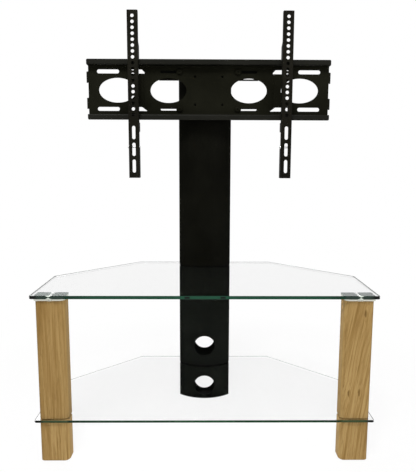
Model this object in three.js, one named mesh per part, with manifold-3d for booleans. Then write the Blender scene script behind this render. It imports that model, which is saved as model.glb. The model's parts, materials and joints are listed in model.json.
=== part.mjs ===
// A television stand with a mount: two glass shelves on a pair of oak legs and a steel column,
// which also carries a folded steel plate with two sliding arms for the screen.
// Millimetres. X runs to the right, Y runs from the front to the back, Z runs up from the floor.
// The origin is on the floor, in the middle of the glass shelves.
import * as THREE from "three";
import { mergeVertices } from "three/addons/utils/BufferGeometryUtils.js";
import Module from "manifold-3d";

// Counts and fits that all pieces share
const cornerSteps = 2;
const arcSteps = 8;
const ovalSteps = 16;
const holeSteps = 16;
const cableHoleSteps = 32;
const smallHoleSteps = 4;
const hexagonSides = 6;
const armHoleSteps = 12;
const curveSteps = 4;
const clearance = 0.3;
const overrun = 5;
const mergeDistance = 1e-3;
const roundEndShare = 0.49;

// Glass shelves
const shelfWidth = 800;
const shelfDepth = 415;
const shelfCornerCut = 205;
const shelfCornerRadius = 5;
const topGlassThickness = 8;
const lowerGlassThickness = 6;
const topGlassHeight = 407;
const lowerGlassHeight = 107;

// Oak legs, with the cap above, the bolt inside and the pad below
const legWidth = 67.5;
const legDepth = 38;
const legSideInset = 10.5;
const legFrontInset = 8;
const legInnerCornerRadius = 13;
const legOuterCornerRadius = 8;
const legBackCornerRadius = 1.5;
const capThickness = 6;
const capFaceProud = 2;
const capOuterProud = 4;
const capInnerProud = 1;
const capSocketDepth = 4.5;
const legBoltDiameter = 10;
const legBoltHeadWidth = 17;
const legBoltHeadHeight = 8;
const legPocketDiameter = 24;
const legPocketDepth = 12;
const bushWall = 3;
const padThickness = 2;
const padInset = 3;

// Column: front shells with a curved face, flat back covers, and what is stacked with them
const columnWidth = 148.5;
const columnDepth = 52.6;
const columnArcRise = 29;
const columnWall = 2;
const columnBackInset = 20;
const columnTopHeight = 964;
const columnLipWidth = 8;
const gasketThickness = 1;
const gasketInset = 1;
const columnCapThickness = 3;
const columnCapRimDepth = 6;
const columnCapRimWall = 2;

// Cable holes of the column and of the glass inside it
const cableHoleDiameter = 60;
const footCableHoleHeight = 42.5;
const middleCableHoleHeight = 166;
const middleBackHoleRise = 6.5;
const upperCableHoleMargin = 130;
const upperCableHoleHeight = columnTopHeight - upperCableHoleMargin - cableHoleDiameter / 2;
const glassCableHoleDiameter = 36;

// Spine tubes inside the column, on their base plate
const spineTubeWidth = 20;
const spineTubeDepth = 25;
const spineTubeWall = 2;
const spineTubeSpacing = 96;
const spineTubeFrontInset = 20.5;
const spineTopClearance = 10;
const spinePassageGap = 0.8;
const basePlateThickness = 6;
const basePadDiameter = 28;

// Bars between the column and the mount plate
const headBarDepth = 12.1;
const headBarWall = 3;
const upperBarWidth = 274;
const upperBarHeight = 38;
const upperBarDrop = 3;
const lowerBarWidth = 176;
const lowerBarHeight = 30;
const barStripWidth = 274;
const barStripHeight = 12;
const barStripRise = 8;
const barOpeningPlace = 110;
const barOpeningWidth = 28;
const barOpeningHeight = 5;
const barOpeningRise = 33.5;
const headBoltDiameter = 8;
const headBoltHeadDiameter = 13;
const headBoltHeadHeight = 5;
const headBoltEndReach = 6;
const spacerDiameter = 16;

// Mount plate, folded from one sheet
const mountDrop = 62;
const mountHeight = columnTopHeight - mountDrop;
const mountSideShift = 10;
const sheet = 2;
const plateWidth = 659;
const plateFaceHeight = 131;
const topRailWidth = 661;
const topLipHeight = 14.5;
const bottomLipHeight = 15;
const railDepth = 18;
const bendRadius = 3;
const panelRecess = 3;
const panelWidth = 354;
const panelHeight = 120;
const panelSlope = 2;

// Cut-outs of the mount plate, measured from its middle
const slotRowSpacing = 100;
const outerSlotStart = 245;
const outerSlotEnd = 305.5;
const wideSlotHeight = 10.6;
const middleSlotStart = 176;
const middleSlotEnd = 218;
const middleSlotCornerCut = 7;
const middleSlotSlant = 15;
const innerSlotStart = 74;
const innerSlotEnd = 132.5;
const innerSlotHeight = 7;
const outerOvalPlace = 249.5;
const outerOvalWidth = 102;
const innerOvalPlace = 110.5;
const innerOvalWidth = 99;
const ovalHeight = 66;
const smallHoleSpacing = 75;
const smallHoleDiameter = 6;
const endTabReach = 6;
const endTabHeight = 30;
const endTabPlace = 35;

// Bolts, washers and nuts that hold the plate to its bars
const plateBoltSpacing = 160;
const plateBoltDiameter = 6;
const plateBoltHeadDiameter = 16;
const plateBoltHeadHeight = 5;
const plateBoltRimShare = 0.33;
const plateBoltSocketWidth = 5;
const plateBoltSocketDepth = 3;
const washerDiameter = 19;
const washerThickness = 1.6;
const plateNutWidth = 10;
const plateNutHeight = 5;

// Arms: channels whose flanges change in depth on the way down
const leftArmPlace = -193;
const rightArmPlace = 220.6;
const armWidth = 28.5;
const armLength = 439;
const armRise = 121;
const armTopDepth = 12;
const armTopDepthEnd = 77;
const armShoulderRun = 10;
const armRailDepth = 15.5;
const armRailGap = 3.5;
const tongueGap = 1.5;
const tongueThickness = 7.5;
const tongueDrop = 8;
const armFootStart = 289;
const armFootEnd = 314;
const armNeckDepth = 13;
const armNeckEnd = 352;
const armTailDepth = 26;
const armCornerRadius = 4;
const armHoleDiameter = 9;
const armHoleCount = 18;
const armHolePitch = 15;
const firstArmHole = 14.5;
const armSlotLength = 35.5;
const armSlotCount = 3;
const armSlotPitch = 45;
const firstArmSlot = 317;

// Lock plate inside each arm, with the screw that guides it
const lockTravel = 12;
const lockThickness = 2;
const lockHookRise = 17;
const lockScrewDiameter = 5;
const lockScrewDrop = 355;
const lockScrewPlace = 7;
const lockEdge = 6;
const lockScrewHeadDiameter = 9;
const lockScrewHeadHeight = 3;
const lockScrewEndReach = 1;

// Heights and places that follow from the sizes above
const topGlassUnderside = topGlassHeight - topGlassThickness;
const lowerGlassUnderside = lowerGlassHeight - lowerGlassThickness;
const legPlace = shelfWidth / 2 - legSideInset - legWidth / 2;
const legFront = -shelfDepth / 2 + legFrontInset;
const postTop = topGlassUnderside - capThickness;
const columnFront = shelfDepth / 2 - columnBackInset - columnDepth;
const columnArcRadius = ((columnWidth / 2) ** 2 + columnArcRise ** 2) / (2 * columnArcRise);
const coverFront = columnDepth - columnWall;
const lipFront = coverFront - clearance - columnWall;
const spineTop = columnTopHeight - spineTopClearance;
const spineBottom = padThickness + basePlateThickness;
const plateBack = columnFront - clearance - headBarDepth;
const sheetFront = plateBack - sheet - panelRecess;
const railFront = sheetFront - railDepth;
const armFront = railFront - armRailGap - armRailDepth;
const armDeep = armRailDepth + armRailGap + sheet + tongueGap + tongueThickness;
const upperBarHeightPlace = mountHeight + slotRowSpacing / 2 - upperBarDrop;
const lowerBarHeightPlace = mountHeight - slotRowSpacing / 2;
const lipTop = plateFaceHeight / 2 + topLipHeight;
const armTop = lipTop + clearance + armRise;
const lockScrewCentre = [lockScrewPlace, -lockScrewDrop];

const wasm = await Module();
wasm.setup();

// Finishes, one for each material of the real stand
const finishes = {
  glass: new THREE.MeshStandardMaterial({
    color: 0xdfeee8,
    roughness: 0.05,
    metalness: 0,
    transparent: true,
    opacity: 0.35,
  }),
  oak: new THREE.MeshStandardMaterial({ color: 0xa48a58, roughness: 0.6, metalness: 0 }),
  brightMetal: new THREE.MeshStandardMaterial({ color: 0xcdcdc4, roughness: 0.3, metalness: 0.9 }),
  blackSteel: new THREE.MeshStandardMaterial({ color: 0x171914, roughness: 0.5, metalness: 0.2 }),
  greyBlackSteel: new THREE.MeshStandardMaterial({ color: 0x24241f, roughness: 0.5, metalness: 0.2 }),
  zincSteel: new THREE.MeshStandardMaterial({ color: 0x9a9c9e, roughness: 0.4, metalness: 0.8 }),
  blackPlastic: new THREE.MeshStandardMaterial({ color: 0x141414, roughness: 0.55, metalness: 0 }),
  rubber: new THREE.MeshStandardMaterial({ color: 0x1b1b1b, roughness: 0.9, metalness: 0 }),
};

// A closed geometry as a solid that can be joined and cut.
function solid(geometry) {
  const bare = geometry.clone();
  bare.deleteAttribute("normal");
  bare.deleteAttribute("uv");
  const merged = mergeVertices(bare, mergeDistance);
  const corners = merged.index.array;
  const triVerts = [];
  for (let i = 0; i < corners.length; i += 3) {
    const [a, b, c] = corners.subarray(i, i + 3);
    if (a !== b && b !== c && c !== a) triVerts.push(a, b, c);
  }
  const vertProperties = merged.attributes.position.array;
  return new wasm.Manifold(
    new wasm.Mesh({ numProp: 3, vertProperties, triVerts: new Uint32Array(triVerts) }),
  );
}

// The triangles of a solid as a geometry that a mesh can show.
function geometryOf(body) {
  const { numProp, vertProperties, triVerts } = body.getMesh();
  const positions = new Float32Array((vertProperties.length / numProp) * 3);
  for (let i = 0; i < positions.length / 3; i++) {
    positions.set(vertProperties.subarray(i * numProp, i * numProp + 3), i * 3);
  }
  const geometry = new THREE.BufferGeometry();
  geometry.setAttribute("position", new THREE.BufferAttribute(positions, 3));
  geometry.setIndex(new THREE.BufferAttribute(triVerts, 1));
  geometry.computeVertexNormals();
  return geometry;
}

// One named piece with a finish of its own.
function piece(name, body, finish) {
  const mesh = new THREE.Mesh(geometryOf(body), finish.clone());
  mesh.name = name;
  return mesh;
}

function group(...members) {
  const made = new THREE.Group();
  made.add(...members);
  return made;
}

// Prisms of a flat outline: upwards, backwards (outline in X and Z) and sideways (outline in Y and Z).
function prism(outline, depth, curveSegments) {
  return new THREE.ExtrudeGeometry(outline, { depth, bevelEnabled: false, curveSegments });
}

function prismUp(outline, height, base = 0, steps = cornerSteps) {
  return solid(prism(outline, height, steps).translate(0, 0, base));
}

function prismBack(outline, depth, front = 0, steps = cornerSteps) {
  const geometry = prism(outline, depth, steps);
  return solid(geometry.rotateX(Math.PI / 2).translate(0, front + depth, 0));
}

function prismAcross(outline, width, middle = 0, steps = cornerSteps) {
  const geometry = prism(outline, width, steps);
  const turned = new THREE.Matrix4().makeBasis(
    new THREE.Vector3(0, 1, 0),
    new THREE.Vector3(0, 0, 1),
    new THREE.Vector3(1, 0, 0),
  );
  return solid(geometry.applyMatrix4(turned).translate(middle - width / 2, 0, 0));
}

// Round bars that start at a point and run up, back or to the right.
function barUp(diameter, length, steps = holeSteps) {
  const radius = diameter / 2;
  const bar = new THREE.CylinderGeometry(radius, radius, length, steps);
  return solid(bar.rotateX(Math.PI / 2).translate(0, 0, length / 2));
}

function barBack(diameter, length, steps = holeSteps) {
  const radius = diameter / 2;
  const bar = new THREE.CylinderGeometry(radius, radius, length, steps);
  return solid(bar.translate(0, length / 2, 0));
}

function barAcross(diameter, length, steps = holeSteps) {
  const radius = diameter / 2;
  const bar = new THREE.CylinderGeometry(radius, radius, length, steps);
  return solid(bar.rotateZ(Math.PI / 2).translate(length / 2, 0, 0));
}

// The diameter over the corners of a hexagon of a given width over its flats.
const hexagonSpan = (width) => width / Math.cos(Math.PI / 6);

// An outline of straight sides whose corners are rounded, each by the radius given for it.
function roundedOutline(corners) {
  const outline = new THREE.Shape();
  corners.forEach(([x, y, radius], i) => {
    const corner = new THREE.Vector2(x, y);
    const before = new THREE.Vector2(...corners.at(i - 1).slice(0, 2)).sub(corner).normalize();
    const after = new THREE.Vector2(...corners[(i + 1) % corners.length].slice(0, 2));
    after.sub(corner).normalize();
    const halfAngle = Math.acos(THREE.MathUtils.clamp(before.dot(after), -1, 1)) / 2;
    const reach = radius / Math.tan(halfAngle);
    const start = corner.clone().addScaledVector(before, reach);
    const end = corner.clone().addScaledVector(after, reach);
    if (i === 0) outline.moveTo(start.x, start.y);
    else outline.lineTo(start.x, start.y);
    if (radius > 0) {
      const middle = before.clone().add(after).normalize();
      const centre = corner.clone().addScaledVector(middle, radius / Math.sin(halfAngle));
      const from = Math.atan2(start.y - centre.y, start.x - centre.x);
      const to = Math.atan2(end.y - centre.y, end.x - centre.x);
      const turnsLeft = before.cross(after) < 0;
      outline.absarc(centre.x, centre.y, radius, from, to, !turnsLeft);
    }
  });
  return outline;
}

function rectangle(left, right, low, high, radius = 0) {
  return roundedOutline([
    [left, low, radius],
    [right, low, radius],
    [right, high, radius],
    [left, high, radius],
  ]);
}

function ellipse(x, y, width, height) {
  const outline = new THREE.Shape();
  outline.absellipse(x, y, width / 2, height / 2, 0, 2 * Math.PI);
  return outline;
}

function glassOutline() {
  const side = shelfWidth / 2;
  const front = -shelfDepth / 2;
  const back = shelfDepth / 2;
  const radius = shelfCornerRadius;
  return roundedOutline([
    [-side, front, radius],
    [side, front, radius],
    [side, back - shelfCornerCut, radius],
    [side - shelfCornerCut, back, radius],
    [shelfCornerCut - side, back, radius],
    [-side, back - shelfCornerCut, radius],
  ]);
}

// The D of the column, drawn with its curved front at the origin. It can be drawn smaller all round,
// and with its back edge at another place.
function columnOutline(inset = 0, back = columnDepth - inset) {
  const side = columnWidth / 2 - inset;
  const radius = columnArcRadius - inset;
  const shoulder = columnArcRadius - Math.sqrt(radius ** 2 - side ** 2);
  const angle = Math.atan2(shoulder - columnArcRadius, side);
  const outline = new THREE.Shape();
  outline.moveTo(-side, back);
  outline.lineTo(-side, shoulder);
  outline.absarc(0, columnArcRadius, radius, Math.PI - angle, 2 * Math.PI + angle, false);
  outline.lineTo(side, back);
  return outline;
}

// Openings through glass and gaskets inside the column: one for each spine tube, one for cables.
function columnPassages(gap, height, base) {
  const cutHeight = height + 2 * overrun;
  const cutBase = base - overrun;
  const front = spineTubeFrontInset - gap;
  const back = spineTubeFrontInset + spineTubeDepth + gap;
  const halfWidth = spineTubeWidth / 2 + gap;
  const cable = barUp(glassCableHoleDiameter, cutHeight, ovalSteps);
  const [left, right] = [-1, 1].map((side) => {
    const middle = (side * spineTubeSpacing) / 2;
    const outline = rectangle(middle - halfWidth, middle + halfWidth, front, back, spineTubeWall + gap);
    return prismUp(outline, cutHeight, cutBase);
  });
  return left.add(right).add(cable.translate(0, columnDepth / 2, cutBase));
}

function shelves() {
  const passages = (height, base) =>
    columnPassages(spinePassageGap, height, base).translate(0, columnFront, 0);
  const top = prismUp(glassOutline(), topGlassThickness, topGlassUnderside);
  let lower = prismUp(glassOutline(), lowerGlassThickness, lowerGlassUnderside);
  for (const side of [-1, 1]) {
    const hole = barUp(
      legBoltDiameter + 2 * (bushWall + clearance),
      lowerGlassThickness + 2 * overrun,
    );
    const holeBase = lowerGlassUnderside - overrun;
    lower = lower.subtract(hole.translate(side * legPlace, legFront + legDepth / 2, holeBase));
  }
  return group(
    piece("top_glass", top.subtract(passages(topGlassThickness, topGlassUnderside)), finishes.glass),
    piece(
      "lower_glass",
      lower.subtract(passages(lowerGlassThickness, lowerGlassUnderside)),
      finishes.glass,
    ),
  );
}

// A leg's outline about its own middle; side is 1 on the right and -1 on the left. Proud is how far
// it stands out at the faces, the outer side and the inner side.
function legOutline(side, faceProud = 0, outerProud = 0, innerProud = 0) {
  const outer = side * (legWidth / 2 + outerProud);
  const inner = -side * (legWidth / 2 + innerProud);
  const front = -legDepth / 2 - faceProud;
  const back = legDepth / 2 + faceProud;
  return roundedOutline([
    [inner, front, legInnerCornerRadius + Math.min(faceProud, innerProud)],
    [outer, front, legOuterCornerRadius + Math.min(faceProud, outerProud)],
    [outer, back, legBackCornerRadius],
    [inner, back, legBackCornerRadius],
  ]);
}

function leg(name, side) {
  const holeDiameter = legBoltDiameter + 2 * clearance;
  const hole = (height, base) =>
    barUp(holeDiameter, height + 2 * overrun).translate(0, 0, base - overrun);
  const postHeight = postTop - lowerGlassHeight;
  const post = prismUp(legOutline(side), postHeight, lowerGlassHeight, curveSteps);
  const footHeight = lowerGlassUnderside - padThickness;
  const foot = prismUp(legOutline(side), footHeight, padThickness, curveSteps);
  const pocket = barUp(legPocketDiameter, legPocketDepth + overrun);
  const pocketTop = padThickness + legPocketDepth;
  const headBottom = pocketTop - legBoltHeadHeight;
  const shankTop = postTop + capSocketDepth - clearance;
  const head = barUp(hexagonSpan(legBoltHeadWidth), legBoltHeadHeight, hexagonSides);
  const shank = barUp(legBoltDiameter, shankTop - headBottom);
  const capOutline = legOutline(side, capFaceProud, capOuterProud, capInnerProud);
  const cap = prismUp(capOutline, capThickness, postTop, curveSteps);
  const socket = barUp(holeDiameter, capSocketDepth + overrun);
  const bush = barUp(legBoltDiameter + 2 * bushWall, lowerGlassThickness);
  const padOutline = legOutline(side, -padInset, -padInset, -padInset);
  const { oak, brightMetal, zincSteel, rubber } = finishes;
  const made = group(
    piece("leg_post_" + name, post.subtract(hole(postHeight, lowerGlassHeight)), oak),
    piece(
      "leg_foot_" + name,
      foot
        .subtract(hole(footHeight, padThickness))
        .subtract(pocket.translate(0, 0, padThickness - overrun)),
      oak,
    ),
    piece(
      "leg_cap_" + name,
      cap.subtract(socket.translate(0, 0, postTop - overrun)),
      brightMetal,
    ),
    piece("leg_bolt_" + name, head.add(shank).translate(0, 0, headBottom), zincSteel),
    piece(
      "glass_bush_" + name,
      bush
        .translate(0, 0, lowerGlassUnderside)
        .subtract(hole(lowerGlassThickness, lowerGlassUnderside)),
      rubber,
    ),
    piece("foot_pad_" + name, prismUp(padOutline, padThickness), rubber),
  );
  made.position.set(side * legPlace, legFront + legDepth / 2, 0);
  return made;
}

// The front shell of a column section: the D, open at the back, with a lip that the cover rests on.
function columnShell(base, top, holes) {
  const inside = columnOutline(columnWall, columnDepth + overrun);
  const lipReach = columnWidth / 2 - columnWall - columnLipWidth;
  let shell = prismUp(columnOutline(), top - base, base, arcSteps).subtract(
    prismUp(inside, top - base + 2 * overrun, base - overrun, arcSteps),
  );
  for (const side of [-1, 1]) {
    const root = side * (columnWidth / 2 - columnWall / 2);
    const tip = side * lipReach;
    const lip = rectangle(Math.min(root, tip), Math.max(root, tip), lipFront, lipFront + columnWall);
    shell = shell.add(prismUp(lip, top - base, base));
  }
  return holes.reduce((body, hole) => body.subtract(hole), shell);
}

function columnCover(base, top, holes) {
  const half = columnWidth / 2 - columnWall - clearance;
  const outline = rectangle(-half, half, coverFront, columnDepth);
  return holes.reduce((body, hole) => body.subtract(hole), prismUp(outline, top - base, base));
}

// A round hole from front to back, through one wall of the column or through both.
function cableHole(height, front = 0) {
  const length = columnDepth - front + 2 * overrun;
  return barBack(cableHoleDiameter, length, cableHoleSteps).translate(0, front - overrun, height);
}

function gasket(name, base) {
  const body = prismUp(columnOutline(gasketInset), gasketThickness, base, arcSteps);
  const passages = columnPassages(spinePassageGap, gasketThickness, base);
  return piece(name, body.subtract(passages), finishes.rubber);
}

function columnCap() {
  const outerRim = columnOutline(columnWall + clearance, lipFront - clearance);
  const innerRim = columnOutline(
    columnWall + clearance + columnCapRimWall,
    lipFront - clearance - columnCapRimWall,
  );
  const rimBase = columnTopHeight - columnCapRimDepth;
  const rim = prismUp(outerRim, columnCapRimDepth, rimBase, arcSteps).subtract(
    prismUp(innerRim, columnCapRimDepth + overrun, rimBase - overrun, arcSteps),
  );
  const lid = prismUp(columnOutline(), columnCapThickness, columnTopHeight, arcSteps);
  return piece("column_cap", lid.add(rim), finishes.blackPlastic);
}

function spine() {
  const members = [
    piece(
      "spine_base_plate",
      prismUp(
        columnOutline(columnWall + clearance, lipFront - clearance),
        basePlateThickness,
        padThickness,
        arcSteps,
      ),
      finishes.blackSteel,
    ),
  ];
  for (const [name, side] of [["left", -1], ["right", 1]]) {
    const middle = (side * spineTubeSpacing) / 2;
    const half = spineTubeWidth / 2;
    const front = spineTubeFrontInset;
    const back = front + spineTubeDepth;
    const outside = rectangle(middle - half, middle + half, front, back, spineTubeWall);
    const inside = rectangle(
      middle - half + spineTubeWall,
      middle + half - spineTubeWall,
      front + spineTubeWall,
      back - spineTubeWall,
    );
    let tube = prismUp(outside, spineTop - spineBottom, spineBottom).subtract(
      prismUp(inside, spineTop - spineBottom + 2 * overrun, spineBottom - overrun),
    );
    for (const height of [upperBarHeightPlace, lowerBarHeightPlace]) {
      const hole = barBack(headBoltDiameter + 2 * clearance, spineTubeWall + 2 * overrun);
      tube = tube.subtract(hole.translate(middle, front - overrun, height));
    }
    const pad = barUp(basePadDiameter, padThickness).translate(middle, (front + back) / 2, 0);
    members.push(
      piece("spine_tube_" + name, tube, finishes.blackSteel),
      piece("base_pad_" + name, pad, finishes.rubber),
    );
  }
  return group(...members);
}

function column() {
  const footBase = padThickness;
  const footTop = lowerGlassUnderside - gasketThickness;
  const middleBase = lowerGlassHeight + gasketThickness;
  const middleTop = topGlassUnderside - gasketThickness;
  const upperBase = topGlassHeight + gasketThickness;
  const spacerHoles = [-1, 1].flatMap((side) =>
    [upperBarHeightPlace, lowerBarHeightPlace].map((height) =>
      barBack(spacerDiameter + 2 * clearance, spineTubeFrontInset + overrun).translate(
        (side * spineTubeSpacing) / 2,
        -overrun,
        height,
      ),
    ),
  );
  const footHole = cableHole(footCableHoleHeight);
  const middleHole = cableHole(middleCableHoleHeight);
  const middleBackHole = cableHole(middleCableHoleHeight + middleBackHoleRise, coverFront);
  const upperHole = cableHole(upperCableHoleHeight, coverFront);
  const { blackSteel } = finishes;
  const made = group(
    piece("column_foot_front", columnShell(footBase, footTop, [footHole]), blackSteel),
    piece("column_foot_back", columnCover(footBase, footTop, [footHole]), blackSteel),
    gasket("column_gasket_1", footTop),
    gasket("column_gasket_2", lowerGlassHeight),
    piece("column_middle_front", columnShell(middleBase, middleTop, [middleHole]), blackSteel),
    piece("column_middle_back", columnCover(middleBase, middleTop, [middleBackHole]), blackSteel),
    gasket("column_gasket_3", middleTop),
    gasket("column_gasket_4", topGlassHeight),
    piece("column_upper_front", columnShell(upperBase, columnTopHeight, spacerHoles), blackSteel),
    piece("column_upper_back", columnCover(upperBase, columnTopHeight, [upperHole]), blackSteel),
    columnCap(),
    spine(),
  );
  made.position.set(0, columnFront, 0);
  return made;
}

// The flat strip that lengthens the lower bar's back behind the inner slots of the plate.
function barStrip() {
  const back = plateBack + headBarDepth;
  const middle = mountHeight - slotRowSpacing / 2 + barStripRise;
  const reach = barStripHeight / 2;
  const outline = rectangle(back - headBarWall, back, middle - reach, middle + reach);
  return prismAcross(outline, barStripWidth, mountSideShift);
}

// The opening through the upper bar's back that shows in the plate's right inner oval.
function barOpening() {
  const place = mountSideShift + barOpeningPlace;
  const height = mountHeight + barOpeningRise;
  const outline = rectangle(
    place - barOpeningWidth / 2,
    place + barOpeningWidth / 2,
    height - barOpeningHeight / 2,
    height + barOpeningHeight / 2,
    barOpeningHeight * roundEndShare,
  );
  return prismBack(outline, headBarWall + 2 * overrun, plateBack + headBarDepth - headBarWall - overrun);
}

// A channel that opens to the front. Its back stands clear of the column's curved front, and
// shaped adds to it or cuts from it before the bolt holes are made.
function headBar(name, width, height, heightPlace, shaped) {
  const front = plateBack;
  const back = plateBack + headBarDepth;
  const low = heightPlace - height / 2;
  const high = heightPlace + height / 2;
  const outside = prismAcross(rectangle(front, back, low, high), width, mountSideShift);
  const inside = prismAcross(
    rectangle(front - overrun, back - headBarWall, low + headBarWall, high - headBarWall),
    width + 2 * overrun,
    mountSideShift,
  );
  let bar = shaped(outside.subtract(inside));
  const rowHeight = Math.sign(heightPlace - mountHeight) * (slotRowSpacing / 2) + mountHeight;
  for (const side of [-1, 1]) {
    const plateHole = barBack(plateBoltDiameter + 2 * clearance, headBarDepth + 2 * overrun);
    const headHole = barBack(headBoltDiameter + 2 * clearance, headBarDepth + 2 * overrun);
    const platePlace = mountSideShift + (side * plateBoltSpacing) / 2;
    const headPlace = (side * spineTubeSpacing) / 2;
    bar = bar.subtract(plateHole.translate(platePlace, front - overrun, rowHeight));
    bar = bar.subtract(headHole.translate(headPlace, front - overrun, heightPlace));
  }
  return piece(name, bar, finishes.blackSteel);
}

// The bolt that holds a bar to a spine tube, screwed into the tube's front wall, with its spacer.
function headBolt(name, side, heightPlace) {
  const barBackFace = plateBack + headBarDepth;
  const webFront = barBackFace - headBarWall;
  const tubeFront = columnFront + spineTubeFrontInset;
  const shankEnd = tubeFront + spineTubeWall + headBoltEndReach;
  const headFront = webFront - headBoltHeadHeight;
  const head = barBack(headBoltHeadDiameter, headBoltHeadHeight);
  const shank = barBack(headBoltDiameter, shankEnd - headFront);
  const spacerLength = tubeFront - barBackFace;
  const spacer = barBack(spacerDiameter, spacerLength);
  const hole = barBack(headBoltDiameter + 2 * clearance, spacerLength + 2 * overrun);
  const made = group(
    piece("head_bolt_" + name, head.add(shank).translate(0, headFront, 0), finishes.zincSteel),
    piece(
      "head_spacer_" + name,
      spacer.subtract(hole.translate(0, -overrun, 0)).translate(0, barBackFace, 0),
      finishes.blackSteel,
    ),
  );
  made.position.set((side * spineTubeSpacing) / 2, 0, heightPlace);
  return made;
}

// A block whose front and back faces differ in size, from y = front to y = back.
function taperedBlock(front, back, frontSize, backSize) {
  const block = new THREE.BoxGeometry(1, 1, 1);
  const { position } = block.attributes;
  for (let i = 0; i < position.count; i++) {
    const [width, height] = position.getY(i) < 0 ? frontSize : backSize;
    const y = position.getY(i) < 0 ? front : back;
    position.setXYZ(i, position.getX(i) * width, y, position.getZ(i) * height);
  }
  return solid(block);
}

// The folded sheet from the side: lip, ledge, face, ledge, lip. Y starts at the lips' front.
function plateProfile() {
  const ledge = plateFaceHeight / 2;
  const faceBack = railDepth + sheet;
  const outerBend = bendRadius + sheet;
  const lipBend = sheet / 2;
  return roundedOutline([
    [0, ledge, sheet],
    [0, lipTop, 0],
    [sheet, lipTop, 0],
    [sheet, ledge + sheet, lipBend],
    [faceBack, ledge + sheet, outerBend],
    [faceBack, -ledge - sheet, outerBend],
    [sheet, -ledge - sheet, lipBend],
    [sheet, -ledge - bottomLipHeight, 0],
    [0, -ledge - bottomLipHeight, 0],
    [0, -ledge, sheet],
    [railDepth, -ledge, bendRadius],
    [railDepth, ledge, bendRadius],
  ]);
}

// A slot beside an arm. Its inner end is slanted: in the upper row only at the corner.
function middleSlot(side, row, low, high) {
  const slanted = row < 0;
  const lowEnd = slanted ? middleSlotStart - middleSlotSlant / 2 : middleSlotStart;
  const highEnd = lowEnd + (slanted ? middleSlotSlant : middleSlotCornerCut);
  const corners = [
    [side * lowEnd, low, 0],
    [side * middleSlotEnd, low, 0],
    [side * middleSlotEnd, high, 0],
    [side * highEnd, high, 0],
  ];
  if (!slanted) corners.push([side * lowEnd, high - middleSlotCornerCut, 0]);
  return roundedOutline(corners);
}

// Every cut-out of the plate, in X and Z about its middle, with the steps its curves need.
function plateCutouts() {
  const outlines = [];
  for (const side of [-1, 1]) {
    const span = (from, to) => [Math.min(side * from, side * to), Math.max(side * from, side * to)];
    outlines.push([ellipse(side * outerOvalPlace, 0, outerOvalWidth, ovalHeight), ovalSteps]);
    outlines.push([ellipse(side * innerOvalPlace, 0, innerOvalWidth, ovalHeight), ovalSteps]);
    for (const row of [-1, 1]) {
      const middle = (row * slotRowSpacing) / 2;
      const low = middle - wideSlotHeight / 2;
      const high = middle + wideSlotHeight / 2;
      const wideEnd = wideSlotHeight * roundEndShare;
      const outer = rectangle(...span(outerSlotStart, outerSlotEnd), low, high, wideEnd);
      const narrow = innerSlotHeight / 2;
      const inner = rectangle(
        ...span(innerSlotStart, innerSlotEnd),
        middle - narrow,
        middle + narrow,
        innerSlotHeight * roundEndShare,
      );
      const hole = ellipse(
        (side * smallHoleSpacing) / 2,
        (row * smallHoleSpacing) / 2,
        smallHoleDiameter,
        smallHoleDiameter,
      );
      outlines.push([outer, cornerSteps], [inner, cornerSteps], [hole, smallHoleSteps]);
      outlines.push([middleSlot(side, row, low, high), cornerSteps]);
    }
  }
  return outlines;
}

function mountPlate() {
  const profile = plateProfile();
  const face = prismAcross(profile, plateWidth);
  const topBlock = prismAcross(
    rectangle(-overrun, railDepth, plateFaceHeight / 2, lipTop + overrun),
    topRailWidth,
  );
  const topRail = prismAcross(profile, topRailWidth).intersect(topBlock);
  const dishFront = railDepth;
  const dishBack = railDepth + panelRecess;
  const rim = [panelWidth + 2 * panelSlope, panelHeight + 2 * panelSlope];
  const floor = [panelWidth, panelHeight];
  const grown = ([width, height]) => [width + 2 * sheet, height + 2 * sheet];
  const dish = taperedBlock(dishFront, dishBack + sheet, grown(rim), grown(floor));
  const hollow = taperedBlock(dishFront, dishBack, rim, floor);
  const slice = taperedBlock(dishFront - overrun, dishFront, rim, rim);
  let plate = face.add(topRail).add(dish).subtract(hollow.add(slice));
  const cutDepth = panelRecess + 2 * sheet + overrun;
  for (const [outline, steps] of plateCutouts()) {
    plate = plate.subtract(prismBack(outline, cutDepth, railDepth - sheet, steps));
  }
  for (const side of [-1, 1]) {
    for (const row of [-1, 1]) {
      plate = plate.add(endTab(side, row));
    }
  }
  const made = piece("mount_plate", plate, finishes.greyBlackSteel);
  made.position.set(mountSideShift, railFront, mountHeight);
  return made;
}

// A short tab at the end of the plate, bent back at half a right angle.
function endTab(side, row) {
  const end = (side * plateWidth) / 2;
  const root = end - side * sheet;
  const tip = end + side * endTabReach;
  const outline = new THREE.Shape();
  outline.moveTo(root, railDepth);
  outline.lineTo(end, railDepth);
  outline.lineTo(tip, railDepth + endTabReach);
  outline.lineTo(tip, railDepth + endTabReach + sheet);
  outline.lineTo(root, railDepth + sheet);
  return prismUp(outline, endTabHeight, row * endTabPlace - endTabHeight / 2);
}

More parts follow.
